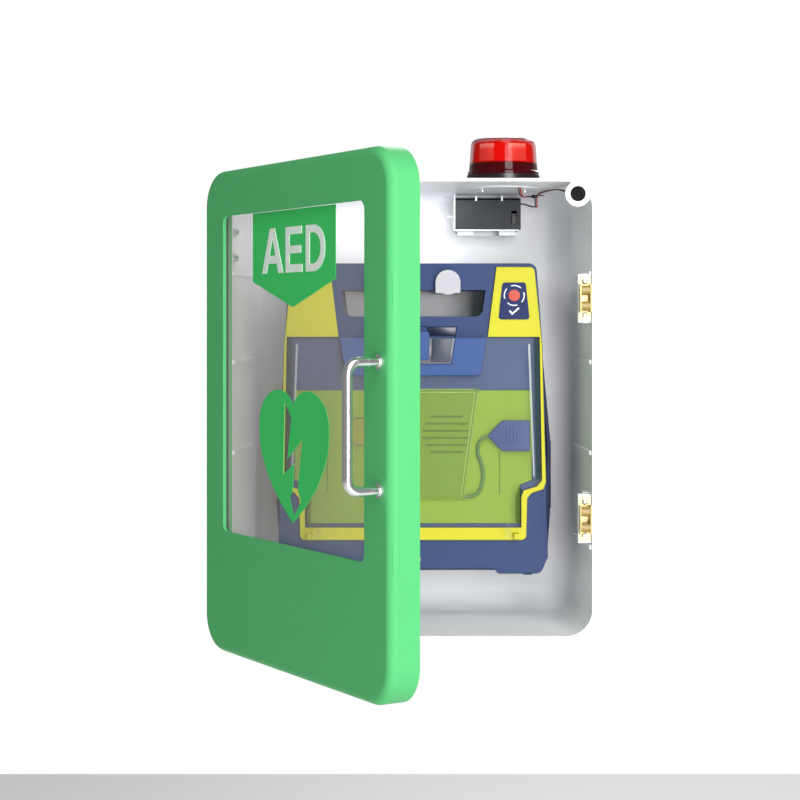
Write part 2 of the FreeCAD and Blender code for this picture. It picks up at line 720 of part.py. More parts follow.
# The base is a cup upside down: a wide foot, and a drum inside the lens.
lamp_base = fuse([
    cut(
        fuse([
            rod("z", ("strobe_x", "strobe_y"), ("219.2", "226.6"), "strobe_base"),
            rod("z", ("strobe_x", "strobe_y"), ("226.6", "238.6"), "29"),
        ]),
        [rod("z", ("strobe_x", "strobe_y"), ("218", "236.6"), "26")],
    ),
] + [rod("z", spot, ("219.2", "237"), "4") for spot in LAMP_SCREWS])
lamp_bores = [rod("z", spot, ("217", "226"), "1.95") for spot in LAMP_SCREWS]
keep("strobe_base", cut(lamp_base, lamp_bores + [rod("z", LAMP_LEAD, ("217", "224"), "4")]))
posts = [
    rod("z", (f"strobe_x + {a} * 9", f"strobe_y + {b} * 9"), ("228", "236.6"), "1.6") for a in TWO for b in TWO
]
chips = [
    block((f"strobe_x + {x}", f"strobe_x + {x} + 5"), (f"strobe_y + {y}", f"strobe_y + {y} + 4"),
          ("224.4", "226.6"))
    for x, y in ((-11, 2), (-3, 8), (6, -2), (-9, -10))
]
keep("strobe_board", fuse([rod("z", ("strobe_x", "strobe_y"), ("226.4", "228"), "16")] + posts + chips))
siren = cut(
    rod("z", ("strobe_x", "strobe_y"), ("228", "236"), "8"),
    [rod("z", ("strobe_x", "strobe_y"), ("233", "237"), "2")],
)
keep("strobe_siren", siren)
keep("strobe_screws", group([
    cut(
        screw("z", spot, ("210.4", "211.8"), "224.8", "3.4", "1.9"),
        [block((f"{spot[0]} - 1.8", f"{spot[0]} + 1.8"), ("strobe_y - 0.35", "strobe_y + 0.35"),
               ("210", "211")),
         block((f"{spot[0]} - 0.35", f"{spot[0]} + 0.35"), ("strobe_y - 1.8", "strobe_y + 1.8"),
               ("210", "211"))],
    )
    for spot in LAMP_SCREWS
]))

# ---- corner sensor, leads and their anchor -----------------------------------------------------

disc = rod("y", ("sensor_x", "sensor_z"), ("-163.1", "-153"), "sensor")
dots = [
    rod("y", (f"sensor_x + {x}", f"sensor_z + {z}"), ("-164", "-162.6"), "0.9")
    for x, z in ((-3.4, 0), (3.4, 0), (0, 3.2))
]
keep("door_sensor", cut(disc, dots))
# The three pairs of leads end in one sleeve; the tail of its tie sticks out to the right.
keep("lead_splice", fuse([
    block(("118.4", "124.8"), ("-58", "-53"), ("206.4", "209.8")),
    block(("124.8", "130.6"), ("-56.6", "-54.4"), ("208.4", "209.6")),
    block(("119.2", "120.6"), ("-58.6", "-52.4"), ("205.8", "210.4")),
]))

lamp_routes = []
for offset in (-0.8, 0.8):
    lamp_routes.append([
        (107, -34.4 + offset, 202),
        (112, -34.6 + offset, 201.8),
        (119.6 + offset, -37, 198.8),
        (124.4 + offset, -46, 198),
        (122.8 + offset, -55.5, 198.4),
        (122.8 + offset, -55.5, 206.4),
    ])
    lamp_routes.append([
        (118.4, -55.5 + offset, 208),
        (112.6, -55.5 + offset, 208),
        (109.6 + offset, -78, 205.6),
        (105.6 + offset, -96, 206.6),
        (104 + offset, -106, 211),
        (104 + offset, -106, 222),
    ])
cords("strobe_lead", lamp_routes, "lead")
sensor_routes = []
for offset in (-0.8, 0.8):
    sensor_routes.append([
        (122.8 + offset, -58, 208.2),
        (122.8 + offset, -65, 208.2),
        (128 + offset, -83, 210.8),
        (139 + offset, -108, 211.4),
        (144 + offset, -128, 209.4),
        (149 + offset, -137, 206),
        (152.4 + offset, -143, 201.2),
        (153 + offset, -152, 201.2),
    ])
cords("sensor_lead", sensor_routes, "lead")

# ---- the door, drawn shut and then turned to its rest angle ------------------------------------

door = new_body("door_shell")
door_outline = rectangle(("door_left", "door_right"), ("-door_high / 2", "door_high / 2"))
add(door, [door_outline], "door_back", "door_front")
soften(door, "door_corner", columns(door_outline))
soften(door, "door_edge", at_level("y", "door_front"))
hollow = new_sketch(door, "XZ_Plane", "-(door_front + door_wall)")
draw_rounded(
    hollow,
    ("door_left + door_wall", "door_right - door_wall"),
    ("-door_high / 2 + door_wall", "door_high / 2 - door_wall"),
    "door_corner - door_wall",
)
extrude(door, "Pocket", hollow, "door_back + 1 - (door_front + door_wall)")
# A raised frame inside, round the window, that the pane sits in.
FRAME = "window_half + 15"
add(door, [
    rectangle((f"-({FRAME})", FRAME), ("window_low - 15", "window_top + 15")),
    rectangle((f"-({FRAME}) + 2", f"{FRAME} - 2"), ("window_low - 13", "window_top + 13")),
], "-180", "door_front + door_wall")
for side in TWO:
    z = f"{side} * catch_z"
    add(door, [rectangle(("157", "door_right - 1"), (f"{z} - 12.5", f"{z} + 12.5"))], "-180",
        "door_front + door_wall")
add_discs(door, [("sensor_x", "sensor_z")], "8", "-166", "door_front + door_wall")
add_discs(
    door, [("handle_x", "handle_top"), ("handle_x", "handle_low")], "7", "-185.6", "door_front + door_wall"
)
window_outline = rectangle(("-window_half", "window_half"), ("window_low", "window_top"))
take(door, [window_outline], "door_front - 1", "door_front + door_wall + 0.5")
soften(door, "window_round", columns(window_outline))
take_discs(door, [("sensor_x", "sensor_z")], "5.1", "-170.2", "-165")
take_discs(door, [("handle_x", "handle_top"), ("handle_x", "handle_low")], "2.1", "-192", "-185")
take_discs(
    door, [("catch_x", f"{a} * catch_z + {b} * 8.4") for a in TWO for b in TWO], "1.6", "-189", "-179"
)
door_leaf_holes = new_sketch(door, "YZ_Plane", "door_left + 5")
draw_circles(
    door_leaf_holes, [("-177.5", f"{a} * hinge_z + {b} * 12.4") for a in TWO for b in TWO], "2.1"
)
extrude(door, "Pocket", door_leaf_holes, "10")
keep("door_shell", door, ON_DOOR)

pane_x = ("-window_half - 12", "window_half + 12")
pane_z = ("window_low - 12", "window_top + 12")
pane = fuse([block(pane_x, ("pane_front", "pane_front + pane_thick"), pane_z)])
keep("window_pane", group([pane]), ON_DOOR)
seal = cut(
    block(("-window_half - 12.8", "window_half + 12.8"), ("door_front + door_wall", "-182.6"),
          ("window_low - 12.8", "window_top + 12.8")),
    [
        block(pane_x, ("pane_front", "pane_front + pane_thick"), pane_z),
        block(("-window_half - 1.5", "window_half + 1.5"), ("-189", "-180"),
              ("window_low - 1.5", "window_top + 1.5")),
    ],
)
keep("window_seal", seal, ON_DOOR)

# Signs: thin layers on the front of the pane. The arrow points down at the heart.
arrow = new_body("arrow_sign")
add(arrow, [[
    ("-77.4", "window_top - 0.4"), ("77.4", "window_top - 0.4"), ("77.4", "117.4"), ("0.6", "94.4"),
    ("-77.4", "117.4"),
]], "pane_front", "pane_front - sign")
keep("arrow_sign", arrow, ON_DOOR)


def layer(curves, openings, back, front):
    """A flat sign between two planes across Y, from curved outlines."""

    def wire(pieces):
        edges = []
        for piece in pieces:
            spots = [Vector(x, back, z) for x, z in piece]
            if len(spots) == 2:
                edges.append(Part.LineSegment(*spots).toShape())
            else:
                curve = Part.BSplineCurve()
                curve.interpolate(spots)
                edges.append(curve.toShape())
        return Part.Wire(Part.__sortEdges__(edges))

    face = Part.Face(wire(curves))
    for opening in openings:
        face = face.cut(Part.Face(wire(opening)))
    feature = doc.addObject("Part::Feature", "layer")
    feature.Shape = face.extrude(Vector(0, front - back, 0))
    return feature


def loop(corners):
    return [[a, b] for a, b in zip(corners, corners[1:] + corners[:1])]


SIGN_BACK = num("pane_front - sign")
SIGN_FRONT = num("pane_front - 2 * sign")
FIRST = [(-58.2, 124.2), (-49.4, 124.2), (-46.4, 132.6), (-29.6, 132.6), (-26.4, 124.2), (-17.2, 124.2),
         (-33.6, 163.3), (-42.6, 163.3)]
FIRST_OPENING = [(-43.8, 139.6), (-32.2, 139.6), (-38.1, 155)]
SECOND = [(-12.5, 124.2), (18.6, 124.2), (18.6, 131), (-5.4, 131), (-5.4, 140.4), (16.2, 140.4), (16.2, 147),
          (-5.4, 147), (-5.4, 156.7), (17.6, 156.7), (17.6, 163.3), (-12.5, 163.3)]
THIRD = [
    [(37.6, 163.3), (25, 163.3)],
    [(25, 163.3), (25, 124.2)],
    [(25, 124.2), (37.6, 124.2)],
    [(37.6, 124.2), (47.4, 125.9), (54.6, 130.8), (58.4, 137), (59.5, 143.8), (58.4, 150.5), (54.6, 156.7),
     (47.4, 161.6), (37.6, 163.3)],
]
THIRD_OPENING = [
    [(37.2, 156.7), (32, 156.7)],
    [(32, 156.7), (32, 130.8)],
    [(32, 130.8), (37.2, 130.8)],
    [(37.2, 130.8), (44.4, 132.1), (50, 137.2), (51.7, 143.8), (50, 150.3), (44.4, 155.4), (37.2, 156.7)],
]
keep("sign_letters", group([
    layer(loop(FIRST), [loop(FIRST_OPENING)], SIGN_BACK, SIGN_FRONT),
    layer(loop(SECOND), [], SIGN_BACK, SIGN_FRONT),
    layer(THIRD, [THIRD_OPENING], SIGN_BACK, SIGN_FRONT),
]), ON_DOOR)

LOBE = [(0, 10.5), (5.4, 16.4), (14.4, 21.2), (27, 23.2), (40.4, 21.2), (51.4, 16), (59.4, 8.6), (64, -1),
        (65.2, -12.5), (62.6, -27), (56.6, -39.4), (49, -50), (34.4, -65), (18, -78), (0, -89.8)]
BOLT = [(-15, 13), (-2.2, 0.4), (-10, -36), (18.7, -17), (9.8, -60.4), (15.6, -70.4), (2.2, -84), (-6, -68.4),
        (0.2, -62), (2, -39.4), (-18, -50)]
right_lobe = [(0.6 + x, z) for x, z in LOBE]
left_lobe = [(0.6 - x, z) for x, z in LOBE]
keep("heart_sign", layer([right_lobe, left_lobe], [loop(BOLT)], num("pane_front"), SIGN_BACK), ON_DOOR)

# Handle: a bent bar with a collar at each foot, held by a screw from inside.
reach = num("door_front - handle_reach")
path = []
x, top, low, bend = num("handle_x"), num("handle_top"), num("handle_low"), num("handle_bend")
face = num("door_front")
corner = bend * (1 - math.sqrt(0.5))
path.append(Part.LineSegment(Vector(x, face, top), Vector(x, reach + bend, top)).toShape())
path.append(Part.Arc(Vector(x, reach + bend, top), Vector(x, reach + corner, top - corner),
                     Vector(x, reach, top - bend)).toShape())
path.append(Part.LineSegment(Vector(x, reach, top - bend), Vector(x, reach, low + bend)).toShape())
path.append(Part.Arc(Vector(x, reach, low + bend), Vector(x, reach + corner, low + corner),
                     Vector(x, reach + bend, low)).toShape())
path.append(Part.LineSegment(Vector(x, reach + bend, low), Vector(x, face, low)).toShape())
bar_ring = Part.Wire([Part.Circle(Vector(x, face, top), Vector(0, 1, 0), num("handle_bar")).toShape()])
bar = doc.addObject("Part::Feature", "bar")
bar.Shape = Part.Wire(path).makePipeShell([bar_ring], True, True)
feet = [
    rod("y", ("handle_x", z), ("door_front - 2.4", "door_front"), "6") for z in ("handle_top", "handle_low")
]
threads = [
    rod("y", ("handle_x", z), ("door_front - 12", "door_front + 1"), "2.05")
    for z in ("handle_top", "handle_low")
]
keep("door_handle", cut(fuse([bar] + feet), threads), ON_DOOR)
keep("handle_screws", group([
    fuse([
        rod("y", ("handle_x", z), ("-185.6", "-184.8"), "5.6"),
        rod("y", ("handle_x", z), ("-184.8", "-182.2"), "3.6"),
        rod("y", ("handle_x", z), ("door_front - 10", "-184.8"), "2"),
    ])
    for z in ("handle_top", "handle_low")
]), ON_DOOR)

strikes, strike_screws = [], []
for side in TWO:
    z = f"{side} * catch_z"
    base = block(("catch_x - 5.6", "catch_x + 5.2"), ("-180", "-178.6"), (f"{z} - 12", f"{z} + 12"))
    holes = [rod("y", ("catch_x", f"{z} + {row} * 8.4"), ("-181", "-178"), "1.6") for row in TWO]
    strikes.append(fuse([
        cut(base, holes),
        block(("catch_x - 2.5", "catch_x + 2.5"), ("-178.6", "strike_y"),
              (f"{z} - strike_neck", f"{z} + strike_neck")),
        rod("x", ("strike_y", z), ("catch_x - 2.5", "catch_x + 2.5"), "strike_head"),
    ]))
    for row in TWO:
        strike_screws.append(
            screw("y", ("catch_x", f"{z} + {row} * 8.4"), ("-177.4", "-178.6"), "-187.5", "2.6", "1.5")
        )
keep("catch_strikes", group(strikes), ON_DOOR)
keep("strike_screws", group(strike_screws), ON_DOOR)
keep("door_magnet", group([rod("y", ("sensor_x", "sensor_z"), ("-170", "-166.2"), "5")]), ON_DOOR)

# ---- the defibrillator: shells -----------------------------------------------------------------

GRIP = both([("71.3", "grip_top"), ("68", "grip_low")])
REAR = both([
    ("117", "bar_top - 3"), ("129.5", "52"), ("aed_rear_half", "-35"), ("aed_rear_half", "-110"),
    ("134", "-158"), ("124", "-168"),
])
REAR_INSIDE = both([
    ("120.5", "80"), ("126.2", "52"), ("134.2", "-35"), ("134.2", "-110"), ("131", "-156.8"), ("122.6", "-165"),
])
FRONT = both([
    ("121.5", "bar_top"), ("127.5", "62"), ("132", "-73"), ("133", "-150"), ("126", "-166.5"),
    ("84", "-166.5"), ("80", "-162"),
])
FRONT_INSIDE = both([
    ("121.4", "80"), ("124.2", "62"), ("128.8", "-73"), ("129.8", "-149"), ("124", "-158.6"),
])
CASE_SCREWS = [(f"{a} * {x}", f"{z}") for x, z in ((104, 74), (117, -60), (104, -150)) for a in TWO]

rear_shell = new_body("aed_rear_shell")
add(rear_shell, [REAR], "aed_back", "aed_split")
soften(rear_shell, "14", columns([REAR[0], REAR[-1]]))
soften(rear_shell, "8", columns([REAR[4], REAR[5], REAR[6], REAR[7]]))
soften(rear_shell, "6", at_level("y", "aed_back"))
take(rear_shell, [GRIP], "aed_split - 1", "aed_back + 1")
take(rear_shell, [REAR_INSIDE], "aed_split - 1", "aed_back - aed_wall")
add_discs(rear_shell, CASE_SCREWS, "5", "aed_back - 2", "aed_split")
take_discs(rear_shell, CASE_SCREWS, "4", "aed_back - 5", "aed_back + 1")
take_discs(rear_shell, CASE_SCREWS, "2.1", "aed_split - 1", "aed_back")
keep("aed_rear_shell", rear_shell)

front_shell = new_body("aed_front_shell")
add(front_shell, [FRONT], "aed_split", "aed_face")
soften(front_shell, "8", columns([FRONT[0], FRONT[-1], FRONT[4], FRONT[-5]]))
soften(front_shell, "2", columns([FRONT[5], FRONT[-6], FRONT[6], FRONT[-7]]))
soften(front_shell, "1.4", at_level("y", "aed_face"))
take(front_shell, [GRIP], "aed_face - 1", "aed_split + 1")
soften(front_shell, "8", columns([GRIP[1], GRIP[2]]))
take(front_shell, [FRONT_INSIDE], "aed_face + 6", "aed_split + 1")
add_discs(front_shell, CASE_SCREWS, "5", "aed_split", "aed_face + 5")
take_discs(front_shell, CASE_SCREWS, "1.95", "-62", "aed_split + 1")
# The panel's recess, the button bore and the slots of the speaker.
PANEL = both([("117.6", "15"), ("117.6", "-74"), ("105.6", "-79"), ("105.6", "-117")])
take(front_shell, [PANEL], "aed_face - 1", "aed_face + 3")
take_discs(front_shell, [("button_x", "button_z")], "button + 0.6", "aed_face + 2", "aed_face + 7")
SLOTS = [
    rectangle((f"speaker_x - {half}", f"speaker_x + {half}"), (f"{z} - 1.1", f"{z} + 1.1"))
    for half, z in ((16.3, -11.4), (21, -18.4), (23.4, -25.4), (23.4, -32.4), (21, -39.4), (16.3, -46.4))
]
take(front_shell, SLOTS, "aed_face + 2", "aed_face + 7")
# A shallow recess above the lid, and in it the keeper for the latch.
take(front_shell, [both([("43.4", "77.6"), ("41.6", "65")])], "aed_face - 1", "aed_face + 2")
add(front_shell, [rectangle(("-13", "-8.5"), ("68.6", "77")), rectangle(("8.5", "13"), ("68.6", "77"))],
    "aed_face + 2.5", "-93.5")
add(front_shell, [rectangle(("-13", "13"), ("70.8", "77"))], "-90.5", "-93.5")
keep("aed_front_shell", front_shell)

# The yellow trim is one frame: two pillars, two side bands and the bar below the lid.
TRIM = both([
    ("119.5", "136.3"), ("127", "62"), ("131", "-76"), ("128.5", "-83"), ("117", "-86.5"), ("112.5", "-92"),
    ("111.5", "-133"),
])
TRIM_INSIDE = both([
    ("82.4", "138"), ("73.6", "67.4"), ("124.6", "67.4"), ("127", "-74"), ("122", "-80"), ("109", "-84"),
    ("106.6", "-90"), ("106.6", "-120.6"),
])
trim = new_body("aed_trim")
add(trim, [TRIM], "aed_face", "trim_face")
soften(trim, "5", columns([TRIM[0], TRIM[-1], TRIM[6], TRIM[7]]))
soften(trim, "3", columns([TRIM[3], TRIM[4], TRIM[5], TRIM[8], TRIM[9], TRIM[10]]))
soften(trim, "1.4", at_level("y", "trim_face"))
take(trim, [TRIM_INSIDE], "trim_face - 1", "aed_face + 1")
add(trim, [
    rectangle((f"{a} * 101.6 - 2.4", f"{a} * 101.6 + 2.4"), ("lid_axis_z - 2.6", "lid_axis_z + 2.6"))
    for a in TWO
], "trim_face", "lid_axis_y - 2.6")
lugs = new_sketch(trim, "YZ_Plane", "-112")
draw_circles(lugs, [("lid_axis_y", "lid_axis_z")], "1.55")
bore = extrude(trim, "Pocket", lugs, "230")
bore.Reversed = True
keep("aed_trim", trim)

keep("aed_grips", group([
    block((low, high), ("-42", "-18"), ("-106", "-38"))
    for low, high in (("aed_rear_half", "aed_rear_half + 1"), ("-aed_rear_half - 1", "-aed_rear_half"))
]))
keep("aed_feet", group([
    block((f"{a} * 115 - 4.4", f"{a} * 115 + 4.4"), ("-44", "-18"), ("-173", "-168")) for a in TWO
]))
keep("case_screws", group([
    screw("y", (x, z), ("-12.4", "-15"), "-60", "3.6", "1.9") for x, z in CASE_SCREWS
]))

# ---- the defibrillator: indicator and instrument panel -----------------------------------------

plate = new_body("status_panel")
PLATE = [("88", "121"), ("111", "121"), ("114.8", "84.6"), ("84", "84.6")]
add(plate, [PLATE], "trim_face", "trim_face - 0.8")
soften(plate, "3", columns(PLATE))
keep("status_panel", plate)
keep("status_light", rod("y", ("99.6", "108.2"), ("trim_face - 2", "trim_face - 0.8"), "5.6"))

panel = new_body("aed_panel")
add(panel, [both([("117.2", "14.6"), ("117.2", "-73.6"), ("105.2", "-78.6"), ("105.2", "-116.6")])],
    "aed_face + 3", "aed_face + 0.4")
take(panel, SLOTS, "aed_face - 1", "aed_face + 4")
take_discs(panel, [("button_x", "button_z")], "button + 0.6", "aed_face - 1", "aed_face + 4")
take(panel, [
    rectangle(("84.2", "85.6"), ("-87.5", "-48")), rectangle(("-85.6", "-84.2"), ("-87.5", "-48"))
], "aed_face - 1", "aed_face + 2")
keep("aed_panel", panel)
cap = rod("y", ("button_x", "button_z"), ("-89.4", "-81"), "button")
stem = rod("y", ("button_x", "button_z"), ("-81", "-66"), "4")
keep("shock_button", fuse([cap, stem]))

basket = fuse([
    rod("y", ("speaker_x", "speaker_z"), ("-79.4", "-76"), "25.5"),
    rod("y", ("speaker_x", "speaker_z"), ("-76", "-70"), "19"),
    rod("y", ("speaker_x", "speaker_z"), ("-70", "-64"), "13"),
])
cone = doc.addObject("Part::Cone", "cone")
cone.Radius1, cone.Radius2, cone.Height = 8, 21, 7
cone.Placement = Placement(Vector(num("speaker_x"), -73, num("speaker_z")), Rotation(Vector(1, 0, 0), 90))
keep("speaker", cut(basket, [cone]))

board_parts = [block(("-88", "88"), ("-60", "-58.4"), ("-84", "66"))]
for x, z, wide, high, deep in (
    (-70, 30, 22, 18, 4), (-30, 36, 14, 14, 3), (10, 30, 24, 24, 5), (50, 38, 18, 12, 8),
    (-74, -10, 16, 26, 6), (-68, -60, 30, 14, 9), (4, -74, 40, 10, 7), (62, -60, 16, 30, 5), (60, 0, 20, 20, 3),
):
    board_parts.append(block((x, x + wide), ("-60 - " + str(min(deep, 3.4)), "-59.9"), (z, z + high)))
keep("main_board", fuse(board_parts))
keep("capacitor", fuse([
    rod("x", ("-33.5", "38"), ("-96", "-20"), "17.5"),
    rod("x", ("-33.5", "38"), ("-98", "-96"), "15"),
    rod("x", ("-40", "38"), ("-20", "-15"), "2"),
    rod("x", ("-27", "38"), ("-20", "-15"), "2"),
]))
keep("battery_pack", fuse([
    block(("-62", "62"), ("-50", "-14"), ("-158", "-96")),
    block(("-20", "20"), ("-50", "-20"), ("-96", "-91")),
]))

# ---- the defibrillator: electrode pouch and plug -----------------------------------------------

pouch = new_body("pads_pouch")
POUCH = [("-25", "16.4"), ("65", "16.4"), ("50.4", "-94.5"), ("-20", "-94.5")]
add(pouch, [POUCH], "-86.2", "-88.8")
soften(pouch, "2", columns(POUCH))
soften(pouch, "1", at_level("y", "-88.8"))
keep("pads_pouch", pouch)
plug = new_body("plug")
add(plug, [[("73", "-30"), ("88", "-15"), ("115", "-15"), ("115", "-45"), ("88", "-45")]], "-86", "-92")
soften(plug, "1.5", at_level("y", "-92"))
plug_cord, plug_length, plug_bends = tube([
    (78, -88.6, -30), (67, -88.6, -31), (62.6, -88.6, -46), (70, -88.8, -62), (68.6, -88.8, -80),
    (62, -88.6, -90), (51.35, -88.6, -90),
], "1.7")
print("pads_plug lead", round(plug_length, 1), [round(r, 1) for r in plug_bends])
plug_lead = doc.addObject("Part::Feature", "plug_lead")
plug_lead.Shape = plug_cord
keep("pads_plug", fuse([plug, plug_lead]))

# ---- the lid and its latch ---------------------------------------------------------------------

LID = both([
    ("124", "66.8"), ("126.4", "-73.6"), ("121.6", "-79.4"), ("108.6", "-83.4"), ("106", "-90"), ("106", "-120"),
])
LID_RIM = both([
    ("122.2", "65"), ("124.6", "-72.8"), ("120.6", "-77.8"), ("107", "-81.8"), ("104.2", "-89.4"),
    ("104.2", "-118.2"),
])
LID_FLAT = both([
    ("117.8", "62"), ("120", "-70.6"), ("118.4", "-73.4"), ("104.6", "-77.6"), ("99.6", "-88"),
    ("99.6", "-113.6"),
])
lid = new_body("lid_cover")
add(lid, [LID], "lid_back", "lid_face")
soften(lid, "7", columns([LID[5], LID[6]]))


def lid_side(edge):
    """Front edges of the lid, apart from the one along its top."""
    return at_level("y", "lid_face")(edge) and edge.BoundBox.ZMin < 60


def lid_top(edge):
    return at_level("y", "lid_face")(edge) and edge.BoundBox.ZMin > 60


soften(lid, "5.5", lid_side, "Chamfer")
soften(lid, "1.6", lid_top, "Chamfer")
take(lid, [LID_FLAT], "lid_face + lid_wall", "lid_back + 1")
take(lid, [LID_RIM], "-90.2", "lid_back + 1")
take(lid, [rectangle(("-6.6", "6.6"), ("62.6", "70"))], "lid_face - 1", "lid_back + 1")
add(lid, [
    rectangle((f"{a} * 93.4 - 3", f"{a} * 93.4 + 3"), ("lid_axis_z - 1.4", "-112"))
    for a in TWO
], "lid_face + 1.2", "lid_axis_y - 1.6")
for a in TWO:
    knuckle = new_sketch(lid, "YZ_Plane", f"{a} * 93.4 - 3")
    draw_circles(knuckle, [("lid_axis_y", "lid_axis_z")], "2.4")
    extrude(lid, "Pad", knuckle, "6")
    stub = new_sketch(lid, "YZ_Plane", "96" if a > 0 else "-103.6")
    draw_circles(stub, [("lid_axis_y", "lid_axis_z")], "1.5")
    extrude(lid, "Pad", stub, "7.6")
keep("lid_cover", lid)

latch_panel = new_body("lid_latch_panel")
panel_outline = both([("72", "66.4"), ("66.3", "29.5")])
add(latch_panel, [panel_outline], "lid_face", "latch_face")
soften(latch_panel, "4", columns([panel_outline[1], panel_outline[2]]))
take(latch_panel, [both([("41.6", "68"), ("37.5", "40.3")])], "latch_face - 1", "lid_face - 0.6")
take(latch_panel, [rectangle(("-6.6", "6.6"), ("62.6", "68"))], "latch_face - 1", "lid_face + 1")
soften(latch_panel, "0.8", at_level("y", "latch_face"))
keep("lid_latch_panel", latch_panel)

tab = new_body("latch_tab")
TAB = both([("16.4", "72.6"), ("15.4", "44.6")])
add(tab, [TAB], "lid_face - 0.8", "lid_face - 3.8")
soften(tab, "3", columns(TAB))
soften(tab, "1", at_level("y", "lid_face - 3.8"))
add(tab, [rectangle(("-6", "6"), ("67.4", "70"))], "-87.4", "lid_face - 0.9")
keep("latch_tab", tab)

# ---- check and write ---------------------------------------------------------------------------

doc.recompute()
bad = [o.Name for o in doc.Objects if "Invalid" in o.State or "Error" in o.State]
if bad:
    raise SystemExit(f"these objects did not compute: {bad}")
os.makedirs("parts", exist_ok=True)
for name, thing in NODES.items():
    shape = thing.Shape
    if shape.isNull() or not shape.isValid():
        raise SystemExit(f"{name} has no valid shape")
    shape.exportStep(f"parts/{name}.step")
print(len(NODES), "nodes")
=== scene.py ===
"""Looks for a wall defibrillator station: a white cabinet, a green door and the defibrillator inside.

Every CAD node gets a procedural material, and detailed pieces stand in for those whose real
shape is finer than the CAD solid; a few thin pieces are painted highlights and painted shade
laid on surfaces. All sizes are in metres, in the CAD's frame.
"""

import json
import math

import bmesh
import bpy
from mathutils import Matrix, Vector


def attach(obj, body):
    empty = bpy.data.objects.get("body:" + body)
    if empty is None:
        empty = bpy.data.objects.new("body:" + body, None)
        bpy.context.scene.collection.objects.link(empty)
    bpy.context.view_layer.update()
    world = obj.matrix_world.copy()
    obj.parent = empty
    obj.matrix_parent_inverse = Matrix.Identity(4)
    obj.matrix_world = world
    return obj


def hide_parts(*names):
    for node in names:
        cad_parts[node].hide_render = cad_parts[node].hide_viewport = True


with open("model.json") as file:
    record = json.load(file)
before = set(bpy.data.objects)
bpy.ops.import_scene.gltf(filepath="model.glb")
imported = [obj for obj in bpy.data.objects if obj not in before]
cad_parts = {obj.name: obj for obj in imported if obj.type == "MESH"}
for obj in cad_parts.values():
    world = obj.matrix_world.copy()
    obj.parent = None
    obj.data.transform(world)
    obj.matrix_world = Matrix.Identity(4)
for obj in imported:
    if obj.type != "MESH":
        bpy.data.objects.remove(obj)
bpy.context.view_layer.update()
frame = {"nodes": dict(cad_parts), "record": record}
NODES = frame["nodes"]
MM = 0.001


# ---- materials ---------------------------------------------------------------------------------


def linear(rgb):
    """A display colour, 0 to 255, as the linear colour a shader takes."""
    scaled = [c / 255 for c in rgb]
    return tuple(c / 12.92 if c <= 0.04045 else ((c + 0.055) / 1.055) ** 2.4 for c in scaled) + (1.0,)


class Surface:
    """A material under construction: short calls that add and join nodes."""

    def __init__(self, name):
        self.material = bpy.data.materials.new(name)
        self.material.use_nodes = True
        self.tree = self.material.node_tree
        self.shader = self.tree.nodes["Principled BSDF"]
        self.place = self.node("ShaderNodeTexCoord").outputs["Object"]

    def node(self, kind, **values):
        made = self.tree.nodes.new(kind)
        for key, value in values.items():
            if hasattr(made, key):
                setattr(made, key, value)
            else:
                made.inputs[key].default_value = value
        return made

    def join(self, source, target):
        self.tree.links.new(source, target)

    def noise(self, scale, detail=3.0, rough=0.5, stretch=None):
        field = self.node("ShaderNodeTexNoise", Scale=scale, Detail=detail, Roughness=rough)
        place = self.place
        if stretch:
            turned = self.node("ShaderNodeMapping", Scale=stretch)
            self.join(place, turned.inputs["Vector"])
            place = turned.outputs["Vector"]
        self.join(place, field.inputs["Vector"])
        return field.outputs["Fac"]

    def span(self, value, low, high, start=0.3, end=0.7):
        ramp = self.node("ShaderNodeMapRange")
        for key, number in (("From Min", start), ("From Max", end), ("To Min", low), ("To Max", high)):
            ramp.inputs[key].default_value = number
        self.join(value, ramp.inputs["Value"])
        return ramp.outputs["Result"]

    def blend(self, factor, first, second):
        mix = self.node("ShaderNodeMix", data_type="RGBA")
        mix.inputs["A"].default_value = first
        mix.inputs["B"].default_value = second
        self.join(factor, mix.inputs["Factor"])
        return mix.outputs["Result"]

    def relief(self, height, distance, strength=1.0, soften=0.0):
        bump = self.node("ShaderNodeBump", Distance=distance, Strength=strength)
        self.join(height, bump.inputs["Height"])
        if soften:
            bevel = self.node("ShaderNodeBevel", samples=6, Radius=soften)
            self.join(bevel.outputs["Normal"], bump.inputs["Normal"])
        self.join(bump.outputs["Normal"], self.shader.inputs["Normal"])


def plastic(name, rgb, rough=0.4, grain=0.00004, size=900.0, shade=0.06, coat=0.0, edge=0.0006,
            metal=0.0, spec=0.5):
    """Moulded plastic: a fine grain, a slow drift of tone and gloss, and softened edges.

    grain is the depth of the surface grain in metres and size its frequency, shade how far the tone
    drifts, edge the radius in metres that edges are softened by.
    """
    surface = Surface(name)
    shader = surface.shader
    base = linear(rgb)
    dark = tuple(c * (1 - shade) for c in base[:3]) + (1.0,)
    drift = surface.noise(14.0, 4.0, 0.6)
    surface.join(surface.blend(surface.span(drift, 0.0, 1.0), dark, base), shader.inputs["Base Color"])
    wear = surface.noise(60.0, 5.0, 0.7)
    surface.join(surface.span(wear, rough * 0.88, min(rough * 1.14, 1.0)), shader.inputs["Roughness"])
    surface.relief(surface.noise(size, 2.0), grain, 1.0, edge)
    shader.inputs["Metallic"].default_value = metal
    shader.inputs["Coat Weight"].default_value = coat
    shader.inputs["Coat Roughness"].default_value = 0.08
    shader.inputs["Specular IOR Level"].default_value = spec
    return surface.material


